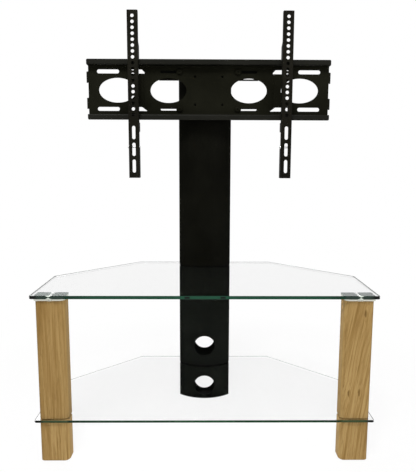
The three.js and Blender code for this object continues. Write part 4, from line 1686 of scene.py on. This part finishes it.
    def build(self, shop: Workshop) -> None:
        """Makes the shells, covers, gaskets and cap.

        Args:
            shop: what finishes the pieces.
        """
        heights = (self.foot_hole, self.middle_hole, self.middle_back_hole, self.upper_hole)
        foot, middle, middle_back, upper = (circle(0, z, self.cable_hole, 72) for z in heights)
        spacers = [circle(x, z, self.spacer_hole, 32) for x in (-SPINE_X, SPINE_X) for z in self.bars]
        for name, span, front_holes, back_hole, coat in (
            ("foot", self.foot, [foot], foot, COLUMN_COAT),
            ("middle", self.middle, [middle], middle_back, COLUMN_COAT),
            ("upper", self.upper, spacers, upper, UPPER_COAT),
        ):
            shop.piece(self.shell(*span, front_holes), f"column_{name}_front", "stand", coat)
            shop.piece(self.cover(*span, back_hole), f"column_{name}_back", "stand", coat)
        plan = self.plan(self.gasket_inset, self.depth - self.gasket_inset)
        for number, base in enumerate(self.gaskets, start=1):
            top = base + self.gasket_height
            layer = self.layer(plan, base, top, self.gasket_edge, *self.passages())
            shop.piece(layer, f"column_gasket_{number}", "stand", RUBBER)
        shop.piece(self.cap(), "column_cap", "stand", CAP_PLASTIC)


@dataclass(frozen=True)
class Spine:
    """What carries the mount inside the column: pads here, and tubes and a base plate kept from CAD."""

    depth_place: float = 167.9
    pad_radius: float = 14
    pad_height: float = 2

    def build(self, shop: Workshop, nodes: dict[str, bpy.types.Object]) -> None:
        """Makes the pads and dresses the hidden members.

        Args:
            shop: what finishes the pieces.
            nodes: the CAD nodes by name.
        """
        r, h = self.pad_radius, self.pad_height
        pad = Turned(rings((r - 0.5, 0), (r, 0.5), (r, h - 0.2), (r - 0.2, h)))
        for side in Side:
            made = pad.built(side.value * SPINE_X, self.depth_place, 0)
            shop.piece(made, "base_pad_" + side.word, "stand", RUBBER)
            shop.dress(nodes["spine_tube_" + side.word], BAR_COAT)
            shop.dress(nodes["leg_bolt_" + side.word], ZINC)
            shop.dress(nodes["glass_bush_" + side.word], RUBBER)
        shop.dress(nodes["spine_base_plate"], BAR_COAT)


@dataclass(frozen=True)
class HeadBar:
    """A channel between the column and the mount plate, with its bolts and spacers.

    The side opening of the upper bar is given by its height and its place across, both as spans
    from the bar's middle, and its corner radius.
    """

    row: Row
    width: float
    height: float
    place: float
    front: float = 122.5
    depth: float = 12.1
    wall: float = 3
    bend: float = 3
    edge: float = 0.4
    tube_front: float = 155.4
    thread: float = 8
    plate_bolt_hole: float = 6.6
    tube_bolt_hole: float = 8.6
    side_opening: tuple[float, ...] = (-16, -11, 96, 124, 2.4)
    strip_reach: float = 137
    strip_rise: Span = (2, 14)
    strip_overlap: float = 1
    strip_edge: float = 0.3

    def path(self) -> Path:
        """Draws flange, web and flange in Y and Z.

        Returns:
            The line, with zero in the middle of the web.
        """
        back, high = self.depth - self.wall / 2, self.height / 2 - self.wall / 2
        corners = [(0, -high, 0), (back, -high, self.bend), (back, high, self.bend), (0, high, 0)]
        return centred(rounded(corners, closed=False))

    def strips(self) -> list[Shape]:
        """Makes the two ends of the flat strip that lengthens the lower bar behind the inner slots.

        Returns:
            The ends.
        """
        made = []
        root = self.width / 2 - self.strip_overlap
        for side in Side:
            near, far = sorted((side.value * root, side.value * self.strip_reach))
            blank = Blank(box(near, far, *self.strip_rise))
            strip = flat(blank, self.wall - 2 * CONTACT_GAP, self.strip_edge, Frame.UPRIGHT)
            made.append(strip.built(MOUNT_X, self.front + self.depth - self.wall / 2, self.place))
        return made

    def channel(self) -> Shape:
        """Makes the channel with its holes, and the lower one with its strip.

        Returns:
            The shape.
        """
        path = self.path()
        end, half = float(path.lengths[-1]), self.width / 2
        rise = MOUNT_Z + self.row.value * ROW_RISE - self.place
        holes = [circle(rise, side.value * PLATE_BOLT_X, self.plate_bolt_hole, 24) for side in Side]
        holes += [circle(0, side.value * SPINE_X - MOUNT_X, self.tube_bolt_hole, 24) for side in Side]
        if self.row is Row.UPPER:
            holes.append(box(*self.side_opening))
        blank = Blank(box(-end, end, -half, half), tuple(holes))
        sheet = Sheet(blank, path, self.wall, Frame.SIDEWAYS, self.edge)
        bar = sheet.built(MOUNT_X, self.front, self.place)
        return bar.joined(*self.strips()) if self.row is Row.LOWER else bar

    def build(self, shop: Workshop) -> None:
        """Makes the channel, its bolts and its spacers.

        Args:
            shop: what finishes the pieces.
        """
        back = self.front + self.depth
        web = back - self.wall
        head = 5
        tip = self.tube_front + self.thread - web + head
        length = self.tube_front - back
        socket = rings((3, 2.5, 6), (3, 0, 6))
        stem = rings((5.9, 0), (6.5, 0.6), (6.5, head), (4, head), (4, tip - 0.5), (3.4, tip))
        bolt = Turned(socket + stem, BACKWARDS)
        front_end = rings((4.3, 0), (7.6, 0), (8, 0.4))
        back_end = rings((8, length - 0.4), (7.6, length), (4.3, length))
        spacer = Turned(front_end + back_end, BACKWARDS, hollow=True)
        shop.piece(self.channel(), "head_bar_" + self.row.word, "stand", BAR_COAT)
        for side in Side:
            name = f"{self.row.word}_{side.word}"
            x = side.value * SPINE_X
            shop.piece(bolt.built(x, web - head, self.place), "head_bolt_" + name, "stand", ZINC)
            shop.piece(spacer.built(x, back, self.place), "head_spacer_" + name, "stand", BAR_COAT)


@dataclass(frozen=True)
class MountPlate:
    """The folded plate: face, ledges and lips, a pressed recess, cut-outs and bent tabs at the ends.

    Ovals and slots are given by the distance of their middle from the plate's, their width and
    their height, and the middle slots by the corners of the right one about its own row.
    """

    y: float = 99.5
    sheet: float = 2
    edge: float = 0.35
    width: float = 659
    top_width: float = 661
    face_height: float = 131
    top_lip: float = 14.5
    bottom_lip: float = 15
    rail_depth: float = 18
    lip_bend: float = 2
    face_bend: float = 4
    corner_radius: float = 3.5
    recess: float = 3
    recess_size: Span = (358, 124)
    recess_radius: float = 7
    recess_slope: float = 2
    tab_reach: float = 6
    tab_radius: float = 2
    tab_spans: tuple[Span, ...] = ((-50, -20), (20, 50))
    tab_zone: float = 60
    root_gap: float = 0.01
    root_inset: float = 0.4
    ovals: tuple[Corner, ...] = ((249.5, 102, 66), (110.5, 99, 66))
    slots: tuple[Corner, ...] = ((275.25, 60.5, 10.6), (103.25, 58.5, 7))
    square_reach: float = 37.5
    square_hole: float = 6
    lower_slot: tuple[Corner, ...] = ((168.5, -5.3, 0.8), (218, -5.3, 2), (218, 5.3, 2), (183.5, 5.3, 0.8))
    upper_slot: tuple[Corner, ...] = (
        (176, -5.3, 0.8),
        (218, -5.3, 2),
        (218, 5.3, 2),
        (183, 5.3, 0.8),
        (176, -1.7, 0.8),
    )

    def path(self) -> Path:
        """Draws the middle line: lip, ledge, face, ledge, lip from the bottom up, in Y and Z.

        Returns:
            The line, with zero in mid-face.
        """
        half = self.sheet / 2
        ledge = self.face_height / 2 + half
        back = self.rail_depth + half
        low = -self.face_height / 2 - self.bottom_lip
        high = self.face_height / 2 + self.top_lip
        bottom = [(half, low, 0), (half, -ledge, self.lip_bend), (back, -ledge, self.face_bend)]
        top = [(back, ledge, self.face_bend), (half, ledge, self.lip_bend), (half, high, 0)]
        line = rounded(bottom + top, closed=False, steps=6)
        start = np.nonzero(np.isclose(line[:, 0], back))[0][0]
        return Path(line, float(Path(line).lengths[start] - line[start, 1]))

    def blank(self, path: Path) -> Blank:
        """Draws the flat sheet: steps at the rails, tabs at the ends, every cut-out, and the recess.

        Args:
            path: the way that the sheet is bent.

        Returns:
            The blank.
        """
        low, high = float(path.lengths[0]), float(path.lengths[-1])
        half, wide = self.width / 2, self.top_width / 2
        rail = self.face_height / 2 + self.sheet / 2
        tip = half + self.tab_reach * math.sqrt(2)
        right = [(low, half, self.corner_radius)]
        creases = [self.recess_loop(0), self.recess_loop(self.recess_slope)]
        for start, end in self.tab_spans:
            right += [(start, half, 0), (start, tip, self.tab_radius)]
            right += [(end, tip, self.tab_radius), (end, half, 0)]
        right += [(rail, half, 0), (rail, wide, 0), (high, wide, self.corner_radius)]
        left = [(s, -t, r) for s, t, r in reversed(right)]
        for side in Side:
            root = side.value * (half + self.root_gap)
            for start, end in self.tab_spans:
                first, last, mid = start + self.root_inset, end - self.root_inset, (start + end) / 2
                creases.append(np.array([[first, root], [last, root], [mid, root]]))
        return Blank(rounded(right + left, steps=5), tuple(self.cutouts()), tuple(creases))

    def recess_loop(self, inset: float) -> Array:
        """The recess's outline, moved inwards."""
        half_x, half_z = self.recess_size[0] / 2 - inset, self.recess_size[1] / 2 - inset
        return box(-half_z, half_z, -half_x, half_x, self.recess_radius - inset)

    def cutouts(self) -> list[Array]:
        """Draws ovals, slots and small holes.

        Returns:
            The openings as they lie on the sheet, height first, then across.
        """
        seen = []
        for sign in (side.value for side in Side):
            seen += [ellipse(sign * x, 0, width, height, 72) for x, width, height in self.ovals]
            for row in Row:
                z = row.value * ROW_RISE
                seen += [long_hole(sign * x, z, width, height) for x, width, height in self.slots]
                reach = self.square_reach
                seen.append(circle(sign * reach, row.value * reach, self.square_hole, 24))
                corners = self.upper_slot if row is Row.UPPER else self.lower_slot
                seen.append(rounded([(sign * x, z + rise, r) for x, rise, r in corners], steps=4))
        return [loop[:, ::-1] for loop in seen]

    def pressed(self, spots: Array, points: Array, along: Array) -> Array:
        """Pushes the recess back and bends the tabs.

        The depth of the recess grows with the distance inside its outline, a rounded box. Beyond the
        plate's end a tab turns back at half a right angle.

        Args:
            spots: places on the flat sheet, height first, then across.
            points: the same places on the folded sheet.
            along: the direction across the plate, which the tabs shorten in.

        Returns:
            The moved points.
        """
        half = np.array([self.recess_size[1], self.recess_size[0]]) / 2 - self.recess_radius
        corner = np.abs(spots) - half
        beside = np.linalg.norm(np.maximum(corner, 0), axis=1)
        outside = beside + np.minimum(corner.max(axis=1), 0) - self.recess_radius
        depth = self.recess * np.clip(-outside / self.recess_slope, 0, 1)
        on_tab = np.abs(spots[:, 0]) < self.tab_zone
        beyond = np.maximum(np.abs(spots[:, 1]) - self.width / 2 - self.root_gap, 0) * on_tab
        turn = math.pi / 4
        back = (depth + beyond * math.sin(turn))[:, None] * np.array([0, 1, 0])
        inwards = (np.sign(spots[:, 1]) * beyond * (1 - math.cos(turn)))[:, None] * along
        return points + back - inwards

    def build(self, shop: Workshop) -> None:
        """Makes the plate, whose lips have the finish of the rails.

        Args:
            shop: what finishes the piece.
        """
        path = self.path()
        sheet = Sheet(self.blank(path), path, self.sheet, Frame.SIDEWAYS, self.edge, self.pressed)
        made = sheet.built(MOUNT_X, self.y, MOUNT_Z)
        lips = made.points[:, 1] < self.y + self.sheet * 2
        made.slots = [int(lips[face].all()) for face in made.faces]
        shop.piece(made, "mount_plate", "stand", PLATE_COAT, RAIL_COAT)


@dataclass(frozen=True)
class PlateFixing:
    """A bolt, a washer and a nut that hold the plate to its bar."""

    side: Side
    row: Row
    panel_front: float = 120.5
    bar_back: float = 134.6
    washer: float = 1.6
    nut: float = 5

    def build(self, shop: Workshop) -> None:
        """Makes the domed bolt with its hexagon socket, the washer and the nut.

        Args:
            shop: what finishes the pieces.
        """
        name = f"{self.row.word}_{self.side.word}"
        x, z = MOUNT_X + self.side.value * PLATE_BOLT_X, MOUNT_Z + self.row.value * ROW_RISE
        seat = self.panel_front - self.washer
        length = self.bar_back + self.nut - seat
        socket = rings((2.5, -2, 6), (2.5, -4.9, 6))
        dome = rings((3.4, -5), (5.2, -4.6), (6.7, -3.8), (7.7, -2.6), (8, -1.6), (8, -0.2), (7.8, 0))
        shank = rings((3, 0), (3, length - 0.5), (2.5, length))
        thick, nut = self.washer, self.nut
        disc_front = rings((3.3, -thick), (9.2, -thick), (9.5, -thick + 0.3))
        disc_back = rings((9.5, -0.2), (9.3, 0), (3.3, 0))
        hexagon = rings((3.3, 0), (4.7, 0), (5, 0.35, 6), (5, nut - 0.35, 6), (4.7, nut), (3.3, nut))
        bolt = Turned(socket + dome + shank, BACKWARDS).built(x, seat, z)
        disc = Turned(disc_front + disc_back, BACKWARDS, hollow=True)
        washer = disc.built(x, self.panel_front - CONTACT_GAP, z)
        made_nut = Turned(hexagon, BACKWARDS, hollow=True).built(x, self.bar_back, z)
        shop.piece(bolt, "plate_bolt_" + name, "stand", PLATE_COAT)
        shop.piece(washer, "plate_washer_" + name, "stand", PLATE_COAT)
        shop.piece(made_nut, "plate_nut_" + name, "stand", ZINC)


@dataclass(frozen=True)
class Arm:
    """A sliding arm: a folded channel with holes for the screen, a lock plate and its screw.

    The flange and the lock plate are given by their corners, seen from the side: depth from the
    arm's front, height from its top, and radius.
    """

    side: Side
    x: float
    y: float = 80.5
    top: float = 1103.3
    width: float = 28.5
    sheet: float = 2
    edge: float = 0.3
    flange_depth: float = 32
    inside_bend: float = 0.5
    hole: float = 9
    hole_count: int = 18
    hole_pitch: float = 15
    first_hole: float = 14.5
    slot_length: float = 35.5
    slot_count: int = 3
    slot_pitch: float = 45
    first_slot: float = 317
    screw_depth: float = 7
    screw_drop: float = 355
    screw_hole: float = 5.6
    lock_place: float = 10.95
    lock_edge: float = 0.25
    lock_slot: Span = (-349, 17.6)
    flange: tuple[Corner, ...] = (
        (12, 0, 4),
        (12, -77, 6),
        (30, -87, 4),
        (30, -129, 2),
        (22.5, -129, 2),
        (22.5, -121, 0),
        (15.5, -121, 0),
        (15.5, -289, 0),
        (30, -289, 2),
        (30, -314, 4),
        (13, -314, 2),
        (13, -352, 2),
        (26, -352, 4),
        (26, -439, 4),
    )
    lock: tuple[Corner, ...] = (
        (2.3, -363.8, 2),
        (12.7, -363.8, 2),
        (12.7, -314, 0),
        (29.7, -314, 2),
        (29.7, -272, 2),
        (22.5, -272, 2),
        (22.5, -289, 0),
        (2.3, -289, 2),
    )

    def path(self) -> Path:
        """Draws flange, web and flange in X and Y.

        Returns:
            The line, with zero in the middle of the web.
        """
        half, web = self.width / 2 - self.sheet / 2, self.sheet / 2
        end, bend = self.flange_depth, self.inside_bend + self.sheet / 2
        corners = [(-half, end, 0), (-half, web, bend), (half, web, bend), (half, end, 0)]
        return centred(rounded(corners, closed=False))

    def blank(self, path: Path) -> Blank:
        """Draws the flat sheet: the web with its holes, and the flanges cut to the arm's side view.

        Args:
            path: the way that the sheet is bent.

        Returns:
            The blank.
        """
        unfold = float(path.lengths[-1]) - self.flange_depth
        right = [(depth + unfold, height, radius) for depth, height, radius in self.flange]
        left = [(-s, height, radius) for s, height, radius in reversed(right)]
        rounds = [-self.first_hole - i * self.hole_pitch for i in range(self.hole_count)]
        longs = [-self.first_slot - i * self.slot_pitch for i in range(self.slot_count)]
        holes = [circle(0, height, self.hole, 36) for height in rounds]
        holes += [long_hole(0, height, self.hole, self.slot_length) for height in longs]
        screw = self.screw_depth + unfold
        holes += [circle(side.value * screw, -self.screw_drop, self.screw_hole, 24) for side in Side]
        return Blank(rounded(right + left, steps=5), tuple(holes))

    def lock_plate(self) -> Shape:
        """Makes the plate that drops to let go of the lower rail, with the slot round the screw.

        Returns:
            The plate.
        """
        middle, length = self.lock_slot
        slot = long_hole(self.screw_depth, middle, self.screw_hole, length)
        blank = Blank(rounded(list(self.lock), steps=5), (slot,))
        sheet = flat(blank, self.sheet, self.lock_edge, Frame.EDGEWAYS)
        return sheet.built(self.x + self.lock_place, self.y, self.top)

    def lock_screw(self) -> Shape:
        """Makes the screw across the arm: domed head on the left, end just through the right flange.

        Returns:
            The screw.
        """
        head = 3
        socket = rings((1.6, 1.4, 6), (1.6, 0.1, 6))
        dome = rings((2.4, 0), (4, 0.7), (4.5, 1.7), (4.5, head))
        end = self.width + head + 1
        shank = rings((2.5, head), (2.5, end - 0.4), (2.1, end))
        screw = Turned(socket + dome + shank, (1, 0, 0), steps=24)
        left = self.x - self.width / 2 - head
        return screw.built(left, self.y + self.screw_depth, self.top - self.screw_drop)

    def build(self, shop: Workshop) -> None:
        """Makes the arm, its lock plate and the lock screw.

        Args:
            shop: what finishes the pieces.
        """
        word = self.side.word
        path = self.path()
        sheet = Sheet(self.blank(path), path, self.sheet, Frame.UPRIGHT, self.edge)
        shop.piece(sheet.built(self.x, self.y, self.top), "arm_" + word, f"{word}_arm", ARM_COAT)
        shop.piece(self.lock_plate(), "lock_plate_" + word, f"{word}_lock", LOCK_COAT)
        shop.piece(self.lock_screw(), "lock_screw_" + word, f"{word}_arm", ZINC)


@dataclass(frozen=True)
class Lamp:
    """A soft square studio lamp: place and aim in metres, size in metres, power in watts."""

    name: str
    place: Corner
    aim: Corner
    size: float
    power: float

    def build(self) -> None:
        """Makes the lamp and points it."""
        light = bpy.data.lights.new(self.name, "AREA")
        light.size = self.size
        light.energy = self.power
        made = linked(self.name, light)
        made.location = self.place
        way = Vector(self.aim) - Vector(self.place)
        made.rotation_mode = "QUATERNION"
        made.rotation_quaternion = way.to_track_quat("-Z", "Y")


@dataclass(frozen=True)
class Studio:
    """The white room round the stand, its lamps, and the camera of the photograph.

    Angles are in radians, the camera's place is in millimetres, and the floor's sizes are in metres.
    """

    focal_pixels: float = 529.1
    image_height: float = 472
    sensor: float = 36
    yaw: float = 0.0097
    pitch: float = 0.1404
    roll: float = 0.0033
    place: Corner = (-5.26, -1377.56, 710.03)
    floor_reach: float = 12.0
    shadow_end: Span = (0.55, 1.1)
    shadow_share: float = 0.12
    ambient: float = 0.42
    lamps: tuple[Lamp, ...] = (
        Lamp("key_lamp", (-0.5, -2.0, 3.1), (0, 0, 0.55), size=0.9, power=85),
        Lamp("fill_lamp", (2.4, -2.4, 1.2), (0, 0, 0.5), size=1.8, power=22),
        Lamp("back_lamp", (-1.8, 2.4, 2.0), (0, 0, 0.5), size=1.6, power=14),
    )

    def camera(self) -> None:
        """Sets the camera from its yaw, pitch and roll.

        Forward is (sin yaw cos pitch, cos yaw cos pitch, -sin pitch); right is level before the roll.
        """
        yaw, pitch, roll = self.yaw, self.pitch, self.roll
        level_share = math.cos(pitch)
        ahead = Vector((math.sin(yaw) * level_share, math.cos(yaw) * level_share, -math.sin(pitch)))
        level = Vector((math.cos(yaw), -math.sin(yaw), 0))
        upright = level.cross(ahead)
        right = math.cos(roll) * level + math.sin(roll) * upright
        up = -math.sin(roll) * level + math.cos(roll) * upright
        data = bpy.data.cameras.new("photo_camera")
        data.sensor_width = self.sensor
        data.lens = self.focal_pixels / self.image_height * self.sensor
        data.clip_start, data.clip_end = 0.01, 100
        made = linked("photo_camera", data)
        turn = Matrix((right, up, -ahead)).transposed().to_4x4()
        turn.translation = Vector(self.place) * MILLIMETRE
        made.matrix_world = turn
        bpy.context.scene.camera = made

    def floor(self) -> None:
        """Makes the white floor, part of whose white is its own so that only a soft shadow shows."""
        reach = self.floor_reach
        mesh = bpy.data.meshes.new("studio_floor")
        corners = [(-reach, -reach, 0), (reach, -reach, 0), (reach, reach, 0), (-reach, reach, 0)]
        mesh.from_pydata(corners, [], [(0, 1, 2, 3)])
        tree = Tree.named("studio_white")
        lit = tree.node("ShaderNodeBsdfDiffuse", {}, {"Color": (0.95, 0.95, 0.95, 1)})
        own = tree.node("ShaderNodeEmission", {}, {"Color": (1, 1, 1, 1), "Strength": 1.0})
        right, back, _ = tree.parts(tree.place())
        away = (right * right + back * back).math("SQRT").step(*self.shadow_end)
        share = tree.sight() * (away * self.shadow_share + (1 - self.shadow_share))
        mixed = tree.node("ShaderNodeMixShader", {}, {0: share, 1: lit["BSDF"], 2: own["Emission"]})
        tree.node("ShaderNodeOutputMaterial", {}, {"Surface": mixed["Shader"]})
        mesh.materials.append(tree.owner)
        made = linked("studio_floor", mesh)

    def world(self) -> None:
        """Makes the world: white where it is seen, and a plain soft light on everything else."""
        world = bpy.data.worlds.new("studio_world")
        tree = Tree(world)
        ends = {"Value": tree.sight(), "To Min": self.ambient, "To Max": 1.0}
        strength = tree.node("ShaderNodeMapRange", {}, ends)["Result"]
        lit = tree.node("ShaderNodeBackground", {}, {"Color": (1, 1, 1, 1), "Strength": strength})
        tree.node("ShaderNodeOutputWorld", {}, {"Surface": lit["Background"]})
        bpy.context.scene.world = world

    def build(self) -> None:
        """Makes the room, the lamps and the camera."""
        bpy.context.scene.view_settings.view_transform = "Standard"
        self.floor()
        self.world()
        for lamp in self.lamps:
            lamp.build()
        self.camera()
        log.info("studio: %d lamps", len(self.lamps))


def main() -> None:
    """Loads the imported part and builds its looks, sub-assembly by sub-assembly."""
    logging.basicConfig(level=logging.INFO, format="%(name)s: %(message)s")
    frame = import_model()
    shop = Workshop()
    Shelves().build(shop)
    for side in Side:
        Leg(side).build(shop)
    Column().build(shop)
    Spine().build(shop, frame["nodes"])
    HeadBar(Row.UPPER, width=274, height=38, place=949).build(shop)
    HeadBar(Row.LOWER, width=176, height=30, place=852).build(shop)
    MountPlate().build(shop)
    for side in Side:
        for row in Row:
            PlateFixing(side, row).build(shop)
    Arm(Side.LEFT, -193).build(shop)
    Arm(Side.RIGHT, 220.6).build(shop)
    Studio().build()


if __name__ == "__main__":
    main()
